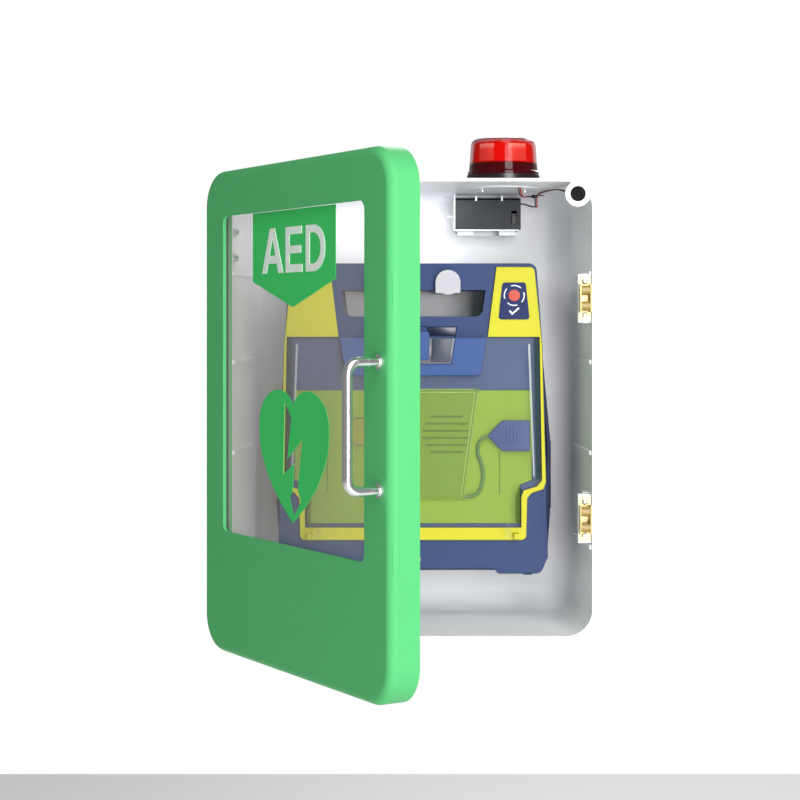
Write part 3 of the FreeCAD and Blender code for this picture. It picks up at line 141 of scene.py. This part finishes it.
def metal(name, rgb, rough=0.25, brushed=(1.0, 1.0, 1.0), edge=0.0003, streak=0.25):
    """Metal with a finish brushed along the axis that has the smallest value in brushed."""
    surface = Surface(name)
    shader = surface.shader
    base = linear(rgb)
    dark = tuple(c * 0.82 for c in base[:3]) + (1.0,)
    lines = surface.noise(240.0, 6.0, 0.7, brushed)
    surface.join(surface.blend(surface.span(lines, 0.0, 1.0), dark, base), shader.inputs["Base Color"])
    surface.join(surface.span(lines, rough * (1 - streak), rough * (1 + streak)), shader.inputs["Roughness"])
    surface.relief(lines, 0.00003, 0.5, edge)
    shader.inputs["Metallic"].default_value = 1.0
    return surface.material


def clear(name, rgb, alpha, rough=0.06, spec=0.5, haze=0.03):
    """Thin clear plastic: a tint that lets light through, with faint haze and scuffs."""
    surface = Surface(name)
    shader = surface.shader
    shader.inputs["Base Color"].default_value = linear(rgb)
    scuff = surface.noise(90.0, 6.0, 0.75)
    surface.join(surface.span(scuff, alpha, alpha + haze), shader.inputs["Alpha"])
    surface.join(surface.span(scuff, rough, rough * 1.8), shader.inputs["Roughness"])
    surface.relief(surface.noise(12.0, 1.0), 0.0002, 0.3)
    shader.inputs["Specular IOR Level"].default_value = spec
    return surface.material


def lid_plastic(name, rgb, alpha, slope_reflection_rgb):
    """Clear plastic with a painted dark reflection on its sloping side edges: where the surface faces
    sideways it takes a dark tint and grows less clear.
    """
    surface = Surface(name)
    shader = surface.shader
    facing = surface.node("ShaderNodeNewGeometry")
    parts = surface.node("ShaderNodeSeparateXYZ")
    surface.join(facing.outputs["True Normal"], parts.inputs["Vector"])
    side = surface.node("ShaderNodeMath", operation="ABSOLUTE")
    surface.join(parts.outputs["X"], side.inputs[0])
    slope = surface.span(side.outputs["Value"], 0.0, 1.0, 0.35, 0.6)
    scuff = surface.noise(90.0, 6.0, 0.75)
    # painted dark reflection: the sloping sides take the dark tint by the way they face
    surface.join(surface.blend(slope, linear(rgb), linear(slope_reflection_rgb)), shader.inputs["Base Color"])
    clearness = surface.node("ShaderNodeMath", operation="ADD")
    surface.join(surface.span(scuff, alpha, alpha + 0.02), clearness.inputs[0])
    # the sloping sides grow less clear so that the painted dark reflection shows
    surface.join(surface.span(slope, 0.0, 0.42, 0.0, 1.0), clearness.inputs[1])
    surface.join(clearness.outputs["Value"], shader.inputs["Alpha"])
    surface.join(surface.span(scuff, 0.06, 0.12), shader.inputs["Roughness"])
    surface.relief(surface.noise(12.0, 1.0), 0.0002, 0.3)
    return surface.material


def lamp_plastic(name):
    """Red lens plastic: clear in the middle, deep red at its foot and round the edge of its top."""
    surface = Surface(name)
    shader = surface.shader
    parts = surface.node("ShaderNodeSeparateXYZ")
    surface.join(surface.place, parts.inputs["Vector"])
    foot = surface.span(parts.outputs["Z"], 1.0, 0.0, 0.2376, 0.2392)
    top = surface.span(parts.outputs["Z"], 0.0, 0.8, 0.2572, 0.2606)
    depth = surface.node("ShaderNodeMath", operation="ADD", use_clamp=True)
    surface.join(foot, depth.inputs[0])
    surface.join(top, depth.inputs[1])
    tint = surface.blend(depth.outputs["Value"], linear((226, 8, 2)), linear((72, 2, 6)))
    surface.join(tint, shader.inputs["Base Color"])
    surface.join(surface.span(depth.outputs["Value"], 0.5, 0.78, 0.0, 1.0), shader.inputs["Alpha"])
    scuff = surface.noise(90.0, 6.0, 0.75)
    surface.join(surface.span(scuff, 0.05, 0.09), shader.inputs["Roughness"])
    surface.relief(surface.noise(12.0, 1.0), 0.0001, 0.3)
    shader.inputs["Specular IOR Level"].default_value = 0.25
    return surface.material


LOOKS = {
    "cabinet_white": plastic("cabinet_white", (250, 250, 252), 0.4, 0.00001, 1600, 0.01, edge=0.0),
    "bracket_white": plastic("bracket_white", (240, 241, 242), 0.42, 0.00001, 1400, 0.03),
    "hinge_black": plastic("hinge_black", (20, 20, 22), 0.34, 0.00004, 1600, 0.2),
    "steel": metal("steel", (252, 251, 252), 0.24, (1.0, 1.0, 0.04)),
    "brass": metal("brass", (222, 200, 140), 0.34, (1.0, 0.2, 1.0)),
    "roller": plastic("roller", (168, 138, 62), 0.3, 0.00002, 900, 0.1, 0.3, 0.0004),
    "hook_metal": plastic("hook_metal", (178, 176, 184), 0.34, 0.00004, 700, 0.05, metal=0.2),
    "box_grey": plastic("box_grey", (42, 45, 50), 0.46, 0.00004, 1500, 0.08, edge=0.0005, spec=0.3),
    "switch_black": plastic("switch_black", (15, 15, 17), 0.36),
    "cell_wrap": plastic("cell_wrap", (44, 60, 70), 0.25, coat=0.5),
    "strobe_dark": plastic("strobe_dark", (30, 16, 22), 0.3, 0.00002, 600, 0.1, coat=0.2),
    "strobe_red": lamp_plastic("strobe_red"),
    "lens_core": plastic("lens_core", (246, 34, 4), 0.4, 0.00002, 500, 0.08, edge=0.0, spec=0.1),
    # the pale pink of the painted highlight strips inside the alarm light's lens
    "lens_light": plastic("lens_light", (255, 196, 176), 0.4, 0.00002, 500, 0.04, edge=0.0),
    # the pale tint of the painted highlight strips on the lid
    "lid_light": clear("lid_light", (232, 238, 236), 0.3, 0.1, 0.5, 0.1),
    "foam": plastic("foam", (38, 38, 40), 0.9, 0.0002, 900, 0.2),
    "board_green": plastic("board_green", (18, 84, 50), 0.35),
    "siren_black": plastic("siren_black", (24, 24, 26), 0.4),
    "sensor_black": plastic("sensor_black", (10, 10, 12), 0.6, spec=0.15),
    "lead_pair": plastic("lead_pair", (206, 30, 26), 0.36, 0.00001, 900, 0.12),
    "lead_black": plastic("lead_black", (24, 16, 18), 0.36, 0.00001, 900, 0.2),
    "splice_black": plastic("splice_black", (22, 20, 22), 0.4),
    "door_green": plastic("door_green", (88, 188, 116), 0.4, 0.0, 600, 0.02, 0.0, 0.0, spec=0.1),
    "window_clear": clear("window_clear", (196, 186, 174), 0.16, 0.03),
    "seal_black": plastic("seal_black", (120, 160, 134), 0.7),
    "sign_green": plastic("sign_green", (66, 208, 108), 0.4, 0.00001, 400, 0.02, edge=0.0, spec=0.1),
    "sign_white": plastic("sign_white", (238, 252, 242), 0.4, 0.00001, 400, 0.02, edge=0.0, spec=0.2),
    "magnet": metal("magnet", (168, 168, 170), 0.3),
    "aed_navy": plastic("aed_navy", (30, 44, 84), 0.45, 0.00003, 1300, 0.1, spec=0.25),
    "aed_blue": plastic("aed_blue", (46, 66, 112), 0.42, 0.00003, 1300, 0.1, edge=0.0008, spec=0.25),
    "aed_yellow": plastic("aed_yellow", (204, 198, 46), 0.4, 0.00002, 1300, 0.04, edge=0.0008, spec=0.2),
    "grip_rubber": plastic("grip_rubber", (32, 38, 58), 0.7, 0.0001, 900, 0.15),
    "label_blue": plastic("label_blue", (24, 38, 90), 0.4, 0.00001, 900, 0.05, edge=0.0, spec=0.2),
    "label_white": plastic("label_white", (238, 242, 246), 0.4, 0.00001, 900, 0.03, edge=0.0),
    "indicator": plastic("indicator", (206, 64, 36), 0.25, 0.00008, 500, 0.2, coat=0.3),
    "panel_lime": plastic("panel_lime", (134, 162, 8), 0.45, 0.00002, 1000, 0.05, spec=0.15),
    "board_cream": plastic("board_cream", (40, 42, 34), 0.8),
    "can_aluminium": plastic("can_aluminium", (60, 62, 98), 0.3, coat=0.4),
    "pack_black": plastic("pack_black", (28, 29, 32), 0.45),
    "button_orange": plastic("button_orange", (150, 150, 16), 0.3, coat=0.2, spec=0.2),
    "pouch_foil": clear("pouch_foil", (134, 170, 0), 0.24, 0.3, 0.15, 0.06),
    # pale lines on the packet's sealed border, lightened as painted highlights
    "seam_light": plastic("seam_light", (170, 194, 96), 0.5, 0.00001, 900, 0.05, edge=0.0),
    "plug_blue": plastic("plug_blue", (44, 62, 120), 0.4, 0.00002, 900, 0.06, edge=0.0008, spec=0.25),
    "pads_cable": plastic("pads_cable", (92, 128, 42), 0.5, 0.00001, 900, 0.08, spec=0.2),
    # the dark green is the painted reflection on the lid's sloping sides
    "lid_clear": lid_plastic("lid_clear", (214, 222, 226), 0.03, (38, 66, 34)),
    "latch_blue": plastic("latch_blue", (56, 84, 142), 0.4, 0.00003, 1300, 0.05, edge=0.0006, spec=0.25),
    # the dark navy of the painted shade sheets in the latch recess
    "latch_dark": plastic("latch_dark", (26, 34, 62), 0.3, 0.00002, 900, 0.1, 0.3, 0.0004),
    "latch_glass": plastic("latch_glass", (44, 54, 72), 0.3, 0.00001, 300, 0.3, 0.1, 0.0005, spec=0.4),
}

for part in frame["record"]["subparts"]:
    node = NODES[part["node"]]
    node.data.materials.clear()
    node.data.materials.append(LOOKS[part["material_slot"]])


# ---- building blocks ----------------------------------------------------------------------------


def finish_piece(name, bm, look, body, replaced=(), angle=35):
    """A mesh as one of the object's pieces: its material, the body it rides on and what it stands for."""
    mesh = bpy.data.meshes.new(name)
    bmesh.ops.recalc_face_normals(bm, faces=bm.faces)
    bm.to_mesh(mesh)
    bm.free()
    for face in mesh.polygons:
        face.use_smooth = True
    mesh.set_sharp_from_angle(angle=math.radians(angle))
    mesh.materials.append(LOOKS[look])
    made = bpy.data.objects.new(name, mesh)
    bpy.context.collection.objects.link(made)
    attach(made, body)
    if replaced:
        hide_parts(*replaced)
    return made


def rounded(corners, radius, steps=6):
    """An outline with its corners rounded; a radius may be given for each corner."""
    count = len(corners)
    radii = radius if isinstance(radius, (list, tuple)) else [radius] * count
    outline = []
    for i, r in enumerate(radii):
        at = Vector(corners[i])
        to_last = (Vector(corners[i - 1]) - at).normalized()
        to_next = (Vector(corners[(i + 1) % count]) - at).normalized()
        if r <= 0:
            outline.append(tuple(at))
            continue
        half = to_last.angle(to_next) / 2
        centre = at + (to_last + to_next).normalized() * (r / math.sin(half))
        first = at + to_last * (r / math.tan(half)) - centre
        last = at + to_next * (r / math.tan(half)) - centre
        for k in range(steps + 1):
            mixed = first.lerp(last, k / steps).normalized() * r
            outline.append(tuple(centre + mixed))
    return outline


def add_slab(bm, outline, back, front, bevel=0.0, segments=2):
    """A plate between two depths, with its front edge rounded."""
    rear = [bm.verts.new((x * MM, back * MM, z * MM)) for x, z in outline]
    fore = [bm.verts.new((x * MM, front * MM, z * MM)) for x, z in outline]
    faces = [bm.faces.new(rear), bm.faces.new(fore)]
    count = len(outline)
    for i in range(count):
        j = (i + 1) % count
        faces.append(bm.faces.new((rear[i], rear[j], fore[j], fore[i])))
    bmesh.ops.recalc_face_normals(bm, faces=faces)
    if bevel:
        rim = [edge for edge in faces[1].edges]
        bmesh.ops.bevel(bm, geom=rim, offset=bevel * MM, segments=segments, profile=0.5, affect="EDGES")


def add_arc(bm, centre, radii, angles, back, front, steps=16):
    """A flat curved bar round a centre, between two angles."""
    x, z = centre
    outer, inner = [], []
    for k in range(steps + 1):
        a = math.radians(angles[0] + (angles[1] - angles[0]) * k / steps)
        outer.append((x + radii[1] * math.cos(a), z + radii[1] * math.sin(a)))
        inner.append((x + radii[0] * math.cos(a), z + radii[0] * math.sin(a)))
    add_slab(bm, outer + inner[::-1], back, front)


def add_turned(bm, centre, profile, turn, around=40):
    """A turned form: the profile gives radius and distance along an axis, turn places each point."""
    rings = []
    for radius, along in profile:
        ring = []
        for k in range(around):
            a = 2 * math.pi * k / around
            ring.append(bm.verts.new(turn(centre, radius * math.cos(a), radius * math.sin(a), along)))
        rings.append(ring)
    for lower, upper in zip(rings, rings[1:]):
        for k in range(around):
            j = (k + 1) % around
            bm.faces.new((lower[k], lower[j], upper[j], upper[k]))
    bm.faces.new(rings[0])
    bm.faces.new(rings[-1])


def facing_front(centre, across, up, along):
    """Points for forms turned about Y: along grows towards the front."""
    return ((centre[0] + across) * MM, (centre[1] - along) * MM, (centre[2] + up) * MM)


def facing_up(centre, across, up, along):
    """Points for forms turned about Z: along grows upwards."""
    return ((centre[0] + across) * MM, (centre[1] + up) * MM, (centre[2] + along) * MM)


def facing_right(centre, across, up, along):
    """Points for forms turned about X and wider from front to back: along grows to the right."""
    widening = 1.5
    return ((centre[0] + along) * MM, (centre[1] + across * widening) * MM, (centre[2] + up) * MM)


def add_screw_head(bm, centre, radius, height, slot=0.3, around=48, rings=12):
    """A domed screw head facing the front, with a cross recess sunk into it."""
    curving, reach, sunk = 0.75, 0.62, 0.55
    grid = []
    for i in range(rings + 1):
        share = i / rings
        ring = []
        for k in range(around):
            a = 2 * math.pi * k / around
            x, z = radius * share * math.cos(a), radius * share * math.sin(a)
            rise = height * math.sqrt(max(0.0, 1 - curving * share ** 2))
            across = min(abs(x), abs(z))
            if across < slot and max(abs(x), abs(z)) < radius * reach:
                rise -= height * sunk
            if i == rings:
                rise = 0.0
            ring.append(bm.verts.new(facing_front(centre, x, z, rise)) if i else None)
        grid.append(ring)
    middle = bm.verts.new(facing_front(centre, 0, 0, height * (1 - sunk)))
    for k in range(around):
        j = (k + 1) % around
        bm.faces.new((middle, grid[1][k], grid[1][j]))
        for i in range(1, rings):
            bm.faces.new((grid[i][k], grid[i + 1][k], grid[i + 1][j], grid[i][j]))


def lead(name, route, diameter, length, look, body, slot, nodes, **facts):
    """A free conductor: one smooth line with the route's points as its control points.

    Route, diameter and length are in millimetres; length is not used.
    """
    curve = bpy.data.curves.new(name, "CURVE")
    curve.dimensions = "3D"
    curve.bevel_depth = diameter / 2 * MM
    curve.bevel_resolution = 5
    curve.use_fill_caps = True
    spline = curve.splines.new("NURBS")
    spline.points.add(len(route) - 1)
    for point, spot in zip(spline.points, route):
        point.co = (*(c * MM for c in spot), 1.0)
    spline.order_u = 3
    spline.use_endpoint_u = True
    spline.resolution_u = 16
    curve.materials.append(LOOKS[look])
    made = bpy.data.objects.new(name, curve)
    bpy.context.collection.objects.link(made)
    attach(made, body)
    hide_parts(*nodes)
    return made


# ---- leads --------------------------------------------------------------------------------------

CONDUCTOR = 1.3
for offset, look, colour, lengths in ((-0.8, "lead_black", "black", (37.6, 64.7, 101.4)),
                                      (0.8, "lead_pair", "red", (39.5, 65.7, 101.4))):
    battery_run = [
        (107, -34.4 + offset, 202),
        (112, -34.6 + offset, 201.8),
        (119.6 + offset, -37, 198.8),
        (124.4 + offset, -46, 198),
        (122.8 + offset, -55.5, 198.4),
        (122.8 + offset, -55.5, 206.4),
    ]
    alarm_run = [
        (118.4, -55.5 + offset, 208),
        (112.6, -55.5 + offset, 208),
        (109.6 + offset, -78, 205.6),
        (105.6 + offset, -96, 206.6),
        (104 + offset, -106, 211),
        (104 + offset, -106, 222),
    ]
    sensor_run = [
        (122.8 + offset, -58, 208.2),
        (122.8 + offset, -65, 208.2),
        (128 + offset, -83, 210.8),
        (139 + offset, -108, 211.4),
        (144 + offset, -128, 209.4),
        (149 + offset, -137, 206),
        (152.4 + offset, -143, 201.2),
        (153 + offset, -152, 201.2),
    ]
    runs = (("battery", battery_run, "strobe_lead"), ("alarm", alarm_run, "strobe_lead"),
            ("sensor", sensor_run, "sensor_lead"))
    for (label, route, node), length in zip(runs, lengths):
        lead(f"{label}_lead_{colour}", route, CONDUCTOR, length, look, "cabinet", "lead_pair", [node],
             stiffness="limp")

# The sleeve that joins the leads: a wrapped barrel with a tie round it and the tie's tail.
bm = bmesh.new()
barrel = [(0.9, 0.0), (1.5, 0.2), (1.66, 0.7), (1.6, 1.6), (1.7, 2.4), (1.7, 4.0), (1.6, 4.8), (1.66, 5.7),
          (1.5, 6.2), (0.9, 6.4)]

add_turned(bm, (118.4, -55.5, 208.1), barrel, facing_right)
band = [(1.5, 0.0), (2.0, 0.05), (2.06, 0.3), (2.06, 1.1), (2.0, 1.35), (1.5, 1.4)]
add_turned(bm, (119.2, -55.5, 208.1), band, facing_right)
tail = [(124.4, 208.5), (130.6, 208.5), (130.6, 209.5), (124.4, 209.5)]
add_slab(bm, rounded(tail, 0.3), -54.5, -56.5, 0.2)
finish_piece("splice_sleeve", bm, "splice_black", "cabinet", ["lead_splice"])

# ---- catches: screws with cross recesses ---------------------------------------------------------

CATCH_HEIGHT, CATCH_SCREW_HEIGHT = 104.5, 16
shank = [(1.5, 0.0), (1.5, -9.6), (0.6, -10.2)]
bm = bmesh.new()
for side in (1, -1):
    for row in (1, -1):
        centre = (163.8, -158.2, side * CATCH_HEIGHT + row * CATCH_SCREW_HEIGHT)
        add_screw_head(bm, centre, 2.9, 1.4)
        add_turned(bm, centre, shank, facing_front, 20)
finish_piece("catch_screw_set", bm, "steel", "cabinet", ["catch_screws"])

# ---- the defibrillator ---------------------------------------------------------------------------

# Electrode packet: a soft flat pouch, sealed round its border and crowned inside it.
PACKET = [(-25, 16.4), (65, 16.4), (50.4, -94.5), (-20, -94.5)]
PACKET_HEIGHT = 111
PACKET_BACK = -86.2
PACKET_BORDER = 4


def packet_rise(spot, inset):
    """How far the packet's front stands out at a spot, given its distance from the nearest edge."""
    sheet, fill, slope = 0.35, 1.9, 12
    rise = sheet
    if inset > PACKET_BORDER:
        crown = min((inset - PACKET_BORDER) / slope, 1.0)
        crown = crown * crown * (3 - 2 * crown)
        folds = 0.12 * math.sin(spot.x * 0.31 + 1.3 * math.sin(spot.y * 0.09))
        folds += 0.08 * math.sin(spot.y * 0.23 + spot.x * 0.11)
        rise += fill * crown + folds * crown
    if 1.2 < inset < 3.4:
        rise += 0.06 * math.sin(spot.x * 2.2 + spot.y * 2.2)
    return rise


def packet():
    """The packet's closed mesh: a flat back, a crowned front and the border that joins them."""
    bm = bmesh.new()
    columns, rows = 44, 52
    rear, fore = [], []
    for j in range(rows + 1):
        v = j / rows
        left = Vector(PACKET[0]).lerp(Vector(PACKET[3]), v)
        right = Vector(PACKET[1]).lerp(Vector(PACKET[2]), v)
        width = (right - left).length
        rear.append([])
        fore.append([])
        for i in range(columns + 1):
            u = i / columns
            spot = left.lerp(right, u)
            inset = min(u * width, (1 - u) * width, v * PACKET_HEIGHT, (1 - v) * PACKET_HEIGHT)
            front = PACKET_BACK - packet_rise(spot, inset)
            rear[-1].append(bm.verts.new((spot.x * MM, PACKET_BACK * MM, spot.y * MM)))
            fore[-1].append(bm.verts.new((spot.x * MM, front * MM, spot.y * MM)))
    for grid in (rear, fore):
        for j in range(rows):
            for i in range(columns):
                bm.faces.new((grid[j][i], grid[j][i + 1], grid[j + 1][i + 1], grid[j + 1][i]))
    for j in (0, -1):
        for i in range(columns):
            bm.faces.new((rear[j][i], rear[j][i + 1], fore[j][i + 1], fore[j][i]))
    for i in (0, -1):
        for j in range(rows):
            bm.faces.new((rear[j][i], rear[j + 1][i], fore[j + 1][i], fore[j][i]))
    made = finish_piece("electrode_packet", bm, "pouch_foil", "aed", ["pads_pouch"], 50)


def packet_edge_highlights():
    """Two pairs of thin light lines along the packet's sealed border at its top edge and its slanting right
    edge: painted highlights where the border catches the light.
    """
    bm = bmesh.new()
    for first, last in ((0, 1), (1, 2)):
        start, end = Vector(PACKET[first]), Vector(PACKET[last])
        along = (end - start).normalized()
        inward = Vector((along.y, -along.x))
        for near, far in ((0.6, 1.0), (3.4, 3.9)):
            a, b = start + along * PACKET_BORDER, end - along * PACKET_BORDER
            edge = [a + inward * near, b + inward * near, b + inward * far, a + inward * far]
            add_slab(bm, [tuple(corner) for corner in edge], -86.5, -86.68)
    finish_piece("packet_edge_highlights", bm, "seam_light", "aed")


packet()
packet_edge_highlights()

# Connector: a pointed block with grip ridges, and the lead from its tip to the packet.
bm = bmesh.new()
block = [(73, -30), (88, -15), (115, -15), (115, -45), (88, -45)]
add_slab(bm, rounded(block, [2.5, 5, 1.5, 1.5, 5]), -86.0, -91.9, 1.2, 4)
for x in (92, 95.4, 98.8, 102.2):
    ridge = [(x, -39), (x + 1.5, -39), (x + 1.5, -21), (x, -21)]
    add_slab(bm, rounded(ridge, 0.7), -91.7, -92.0, 0.12)
connector = finish_piece("pads_connector", bm, "plug_blue", "aed", ["pads_plug"])
pads_run = [
    (78, -88.6, -30),
    (67, -88.6, -31),
    (62.6, -88.6, -46),
    (70, -88.8, -62),
    (68.6, -88.8, -80),
    (62, -88.6, -90),
    (51.35, -88.6, -90),
]
lead("pads_lead", pads_run, 3.4, 80.6, "pads_cable", "aed", "plug_blue", ["pads_plug"],
     stiffness="medium", with_pieces=[connector])

# Status panel: four arcs round the light, and a plain tick below in place of words.
STATUS_LIGHT = (99.6, 108.2)
HALF_ARC = 30
bm = bmesh.new()
for middle in (78, -12, -102, 168):
    add_arc(bm, STATUS_LIGHT, (9.3, 10.3), (middle - HALF_ARC, middle + HALF_ARC), -90.15, -90.4)
tick = [(94.4, 92.6), (97.6, 89.0), (104.8, 95.4), (103.8, 96.6), (97.8, 91.3), (95.5, 93.8)]
add_slab(bm, tick, -90.15, -90.4)
finish_piece("status_marks", bm, "label_white", "aed")

# Latch: a dark sheet on the floor of its recess, painted shade where the recess lies in shadow, and the
# glossy flaps either side of the tab.
bm = bmesh.new()
recess = [(-41.2, 66.2), (41.2, 66.2), (37.3, 40.7), (-37.3, 40.7)]
add_slab(bm, rounded(recess, [0, 0, 3, 3]), -96.6, -96.85, 0.1)
finish_piece("latch_recess_painted_shade", bm, "latch_dark", "aed_lid")
bm = bmesh.new()
for side in (1, -1):
    flap = [(side * 18.6, 66), (side * 38.6, 66), (side * 35.6, 43), (side * 18, 43)]
    add_slab(bm, rounded(flap, [0.8, 0.8, 2.4, 0.8]), -96.85, -97.7, 0.5, 3)
finish_piece("latch_flaps", bm, "latch_glass", "aed_lid")

# Lid: painted highlights, thin pale strips on its front along the lines where the front turns into its sides.
bm = bmesh.new()
for side in (1, -1):
    highlight_strip = [(side * 112.8, 60.5), (side * 114.9, 60.5), (side * 119.6, -70), (side * 117.9, -70)]
    add_slab(bm, rounded(highlight_strip, 0.8), -96.0, -96.3, 0.1)
finish_piece("lid_painted_highlights", bm, "lid_light", "aed_lid")

# Painted shade above the lid, either side of the latch: dark sheets in the recess where only shade lies.
bm = bmesh.new()
for side in (1, -1):
    shade_patch = [(side * 13.6, 68.4), (side * 41.4, 68.4), (side * 42.6, 77), (side * 13.6, 77)]
    add_slab(bm, rounded(shade_patch, 0.8), -84.05, -84.5, 0.2)
finish_piece("latch_upper_painted_shade", bm, "latch_dark", "aed")

# Alarm light: the red diffuser inside the lens, and two bright strips standing against it that are painted
# highlights, in place of the lens's reflections of the lights.
LAMP_X, LAMP_Y = 89, -82
bm = bmesh.new()
core = [
    (12.0, 0.0),
    (29.0, 0.0),
    (29.6, 0.8),
    (29.0, 9.0),
    (28.0, 17.5),
    (26.4, 19.2),
    (23.0, 20.0),
    (0.5, 20.2),
]
add_turned(bm, (LAMP_X, LAMP_Y, 238.7), core, facing_up, 64)
finish_piece("lens_diffuser", bm, "lens_core", "cabinet")


def curved_edge(bm, radius, height, angles, steps=12):
    """A row of points round the lamp's axis, between two angles from the front."""
    row = []
    for k in range(steps + 1):
        a = math.radians(angles[0] + (angles[1] - angles[0]) * k / steps)
        spot = (LAMP_X + radius * math.sin(a), LAMP_Y - radius * math.cos(a), height)
        row.append(bm.verts.new(tuple(c * MM for c in spot)))
    return row


# Painted highlights: two pale curved strips inside the lens that stand in for its reflections of the lights.
bm = bmesh.new()
foot, head = 239.6, 256.4
for angles in ((-53, -20), (8, 46)):
    edges = [curved_edge(bm, radius, height, angles)
             for radius, height in ((29.9, foot), (28.9, head), (29.4, head), (30.4, foot))]
    for row, beside in zip(edges, edges[1:] + edges[:1]):
        for k in range(len(row) - 1):
            bm.faces.new((row[k], row[k + 1], beside[k + 1], beside[k]))
    for end in (0, -1):
        bm.faces.new([row[end] for row in edges])
finish_piece("lens_painted_highlights", bm, "lens_light", "cabinet")


# ---- camera, floor and light --------------------------------------------------------------------

camera_data = bpy.data.cameras.new("camera")
camera_data.sensor_width = 36.0
camera_data.lens = 82.62
camera_data.shift_x = -0.05
camera_data.shift_y = -0.0949
camera_data.clip_end = 50.0
camera = bpy.data.objects.new("camera", camera_data)
camera.location = (0.0265, -1.898, 0.080)
camera.rotation_euler = (math.pi / 2, 0, 0)
bpy.context.collection.objects.link(camera)
bpy.context.scene.camera = camera


def pale_floor():
    """A wide plain floor below the object."""
    mesh = bpy.data.meshes.new("floor")
    near, far, half, height = -4.0, 2.1, 4.0, -0.9
    mesh.from_pydata([(-half, near, height), (half, near, height), (half, far, height), (-half, far, height)],
                     [], [(0, 1, 2, 3)])
    floor = bpy.data.objects.new("floor", mesh)
    bpy.context.collection.objects.link(floor)
    pale = bpy.data.materials.new("floor_pale")
    pale.use_nodes = True
    shader = pale.node_tree.nodes["Principled BSDF"]
    shader.inputs["Base Color"].default_value = (0.9, 0.9, 0.9, 1)
    shader.inputs["Roughness"].default_value = 0.9
    mesh.materials.append(pale)


def lamp(name, place, target, size, power):
    """A soft rectangular light, turned to its target."""
    data = bpy.data.lights.new(name, "AREA")
    data.shape = "RECTANGLE"
    data.size, data.size_y = size
    data.energy = power
    light = bpy.data.objects.new(name, data)
    light.location = place
    light.rotation_euler = (Vector(target) - Vector(place)).to_track_quat("-Z", "Y").to_euler()
    bpy.context.collection.objects.link(light)


pale_floor()
lamp("key", (0.9, -2.7, 0.35), (0.05, -0.1, 0.0), (1.2, 1.6), 56)
lamp("high", (0.4, -1.9, 1.7), (0.05, -0.1, 0.0), (1.2, 1.2), 28)
lamp("low", (0.35, -2.2, -0.8), (0.05, -0.1, 0.0), (1.0, 0.6), 9)
lamp("back", (0.7, 2.4, 1.5), (0.0, 0.0, 0.0), (1.6, 1.6), 44)
lamp("inner", (-0.02, -0.062, 0.2), (0.0, 0.0, 0.075), (0.16, 0.03), 0.07)

bpy.context.scene.view_settings.view_transform = "Standard"

# The surroundings look white, and light the object more softly than that.
world = bpy.data.worlds.new("studio")
world.use_nodes = True
tree = world.node_tree
sky = tree.nodes["Background"]
sky.inputs["Color"].default_value = (1, 1, 1, 1)
path = tree.nodes.new("ShaderNodeLightPath")
glow = tree.nodes.new("ShaderNodeMapRange")
glow.inputs["To Min"].default_value = 0.22
glow.inputs["To Max"].default_value = 1.0
tree.links.new(path.outputs["Is Camera Ray"], glow.inputs["Value"])
tree.links.new(glow.outputs["Result"], sky.inputs["Strength"])
bpy.context.scene.world = world
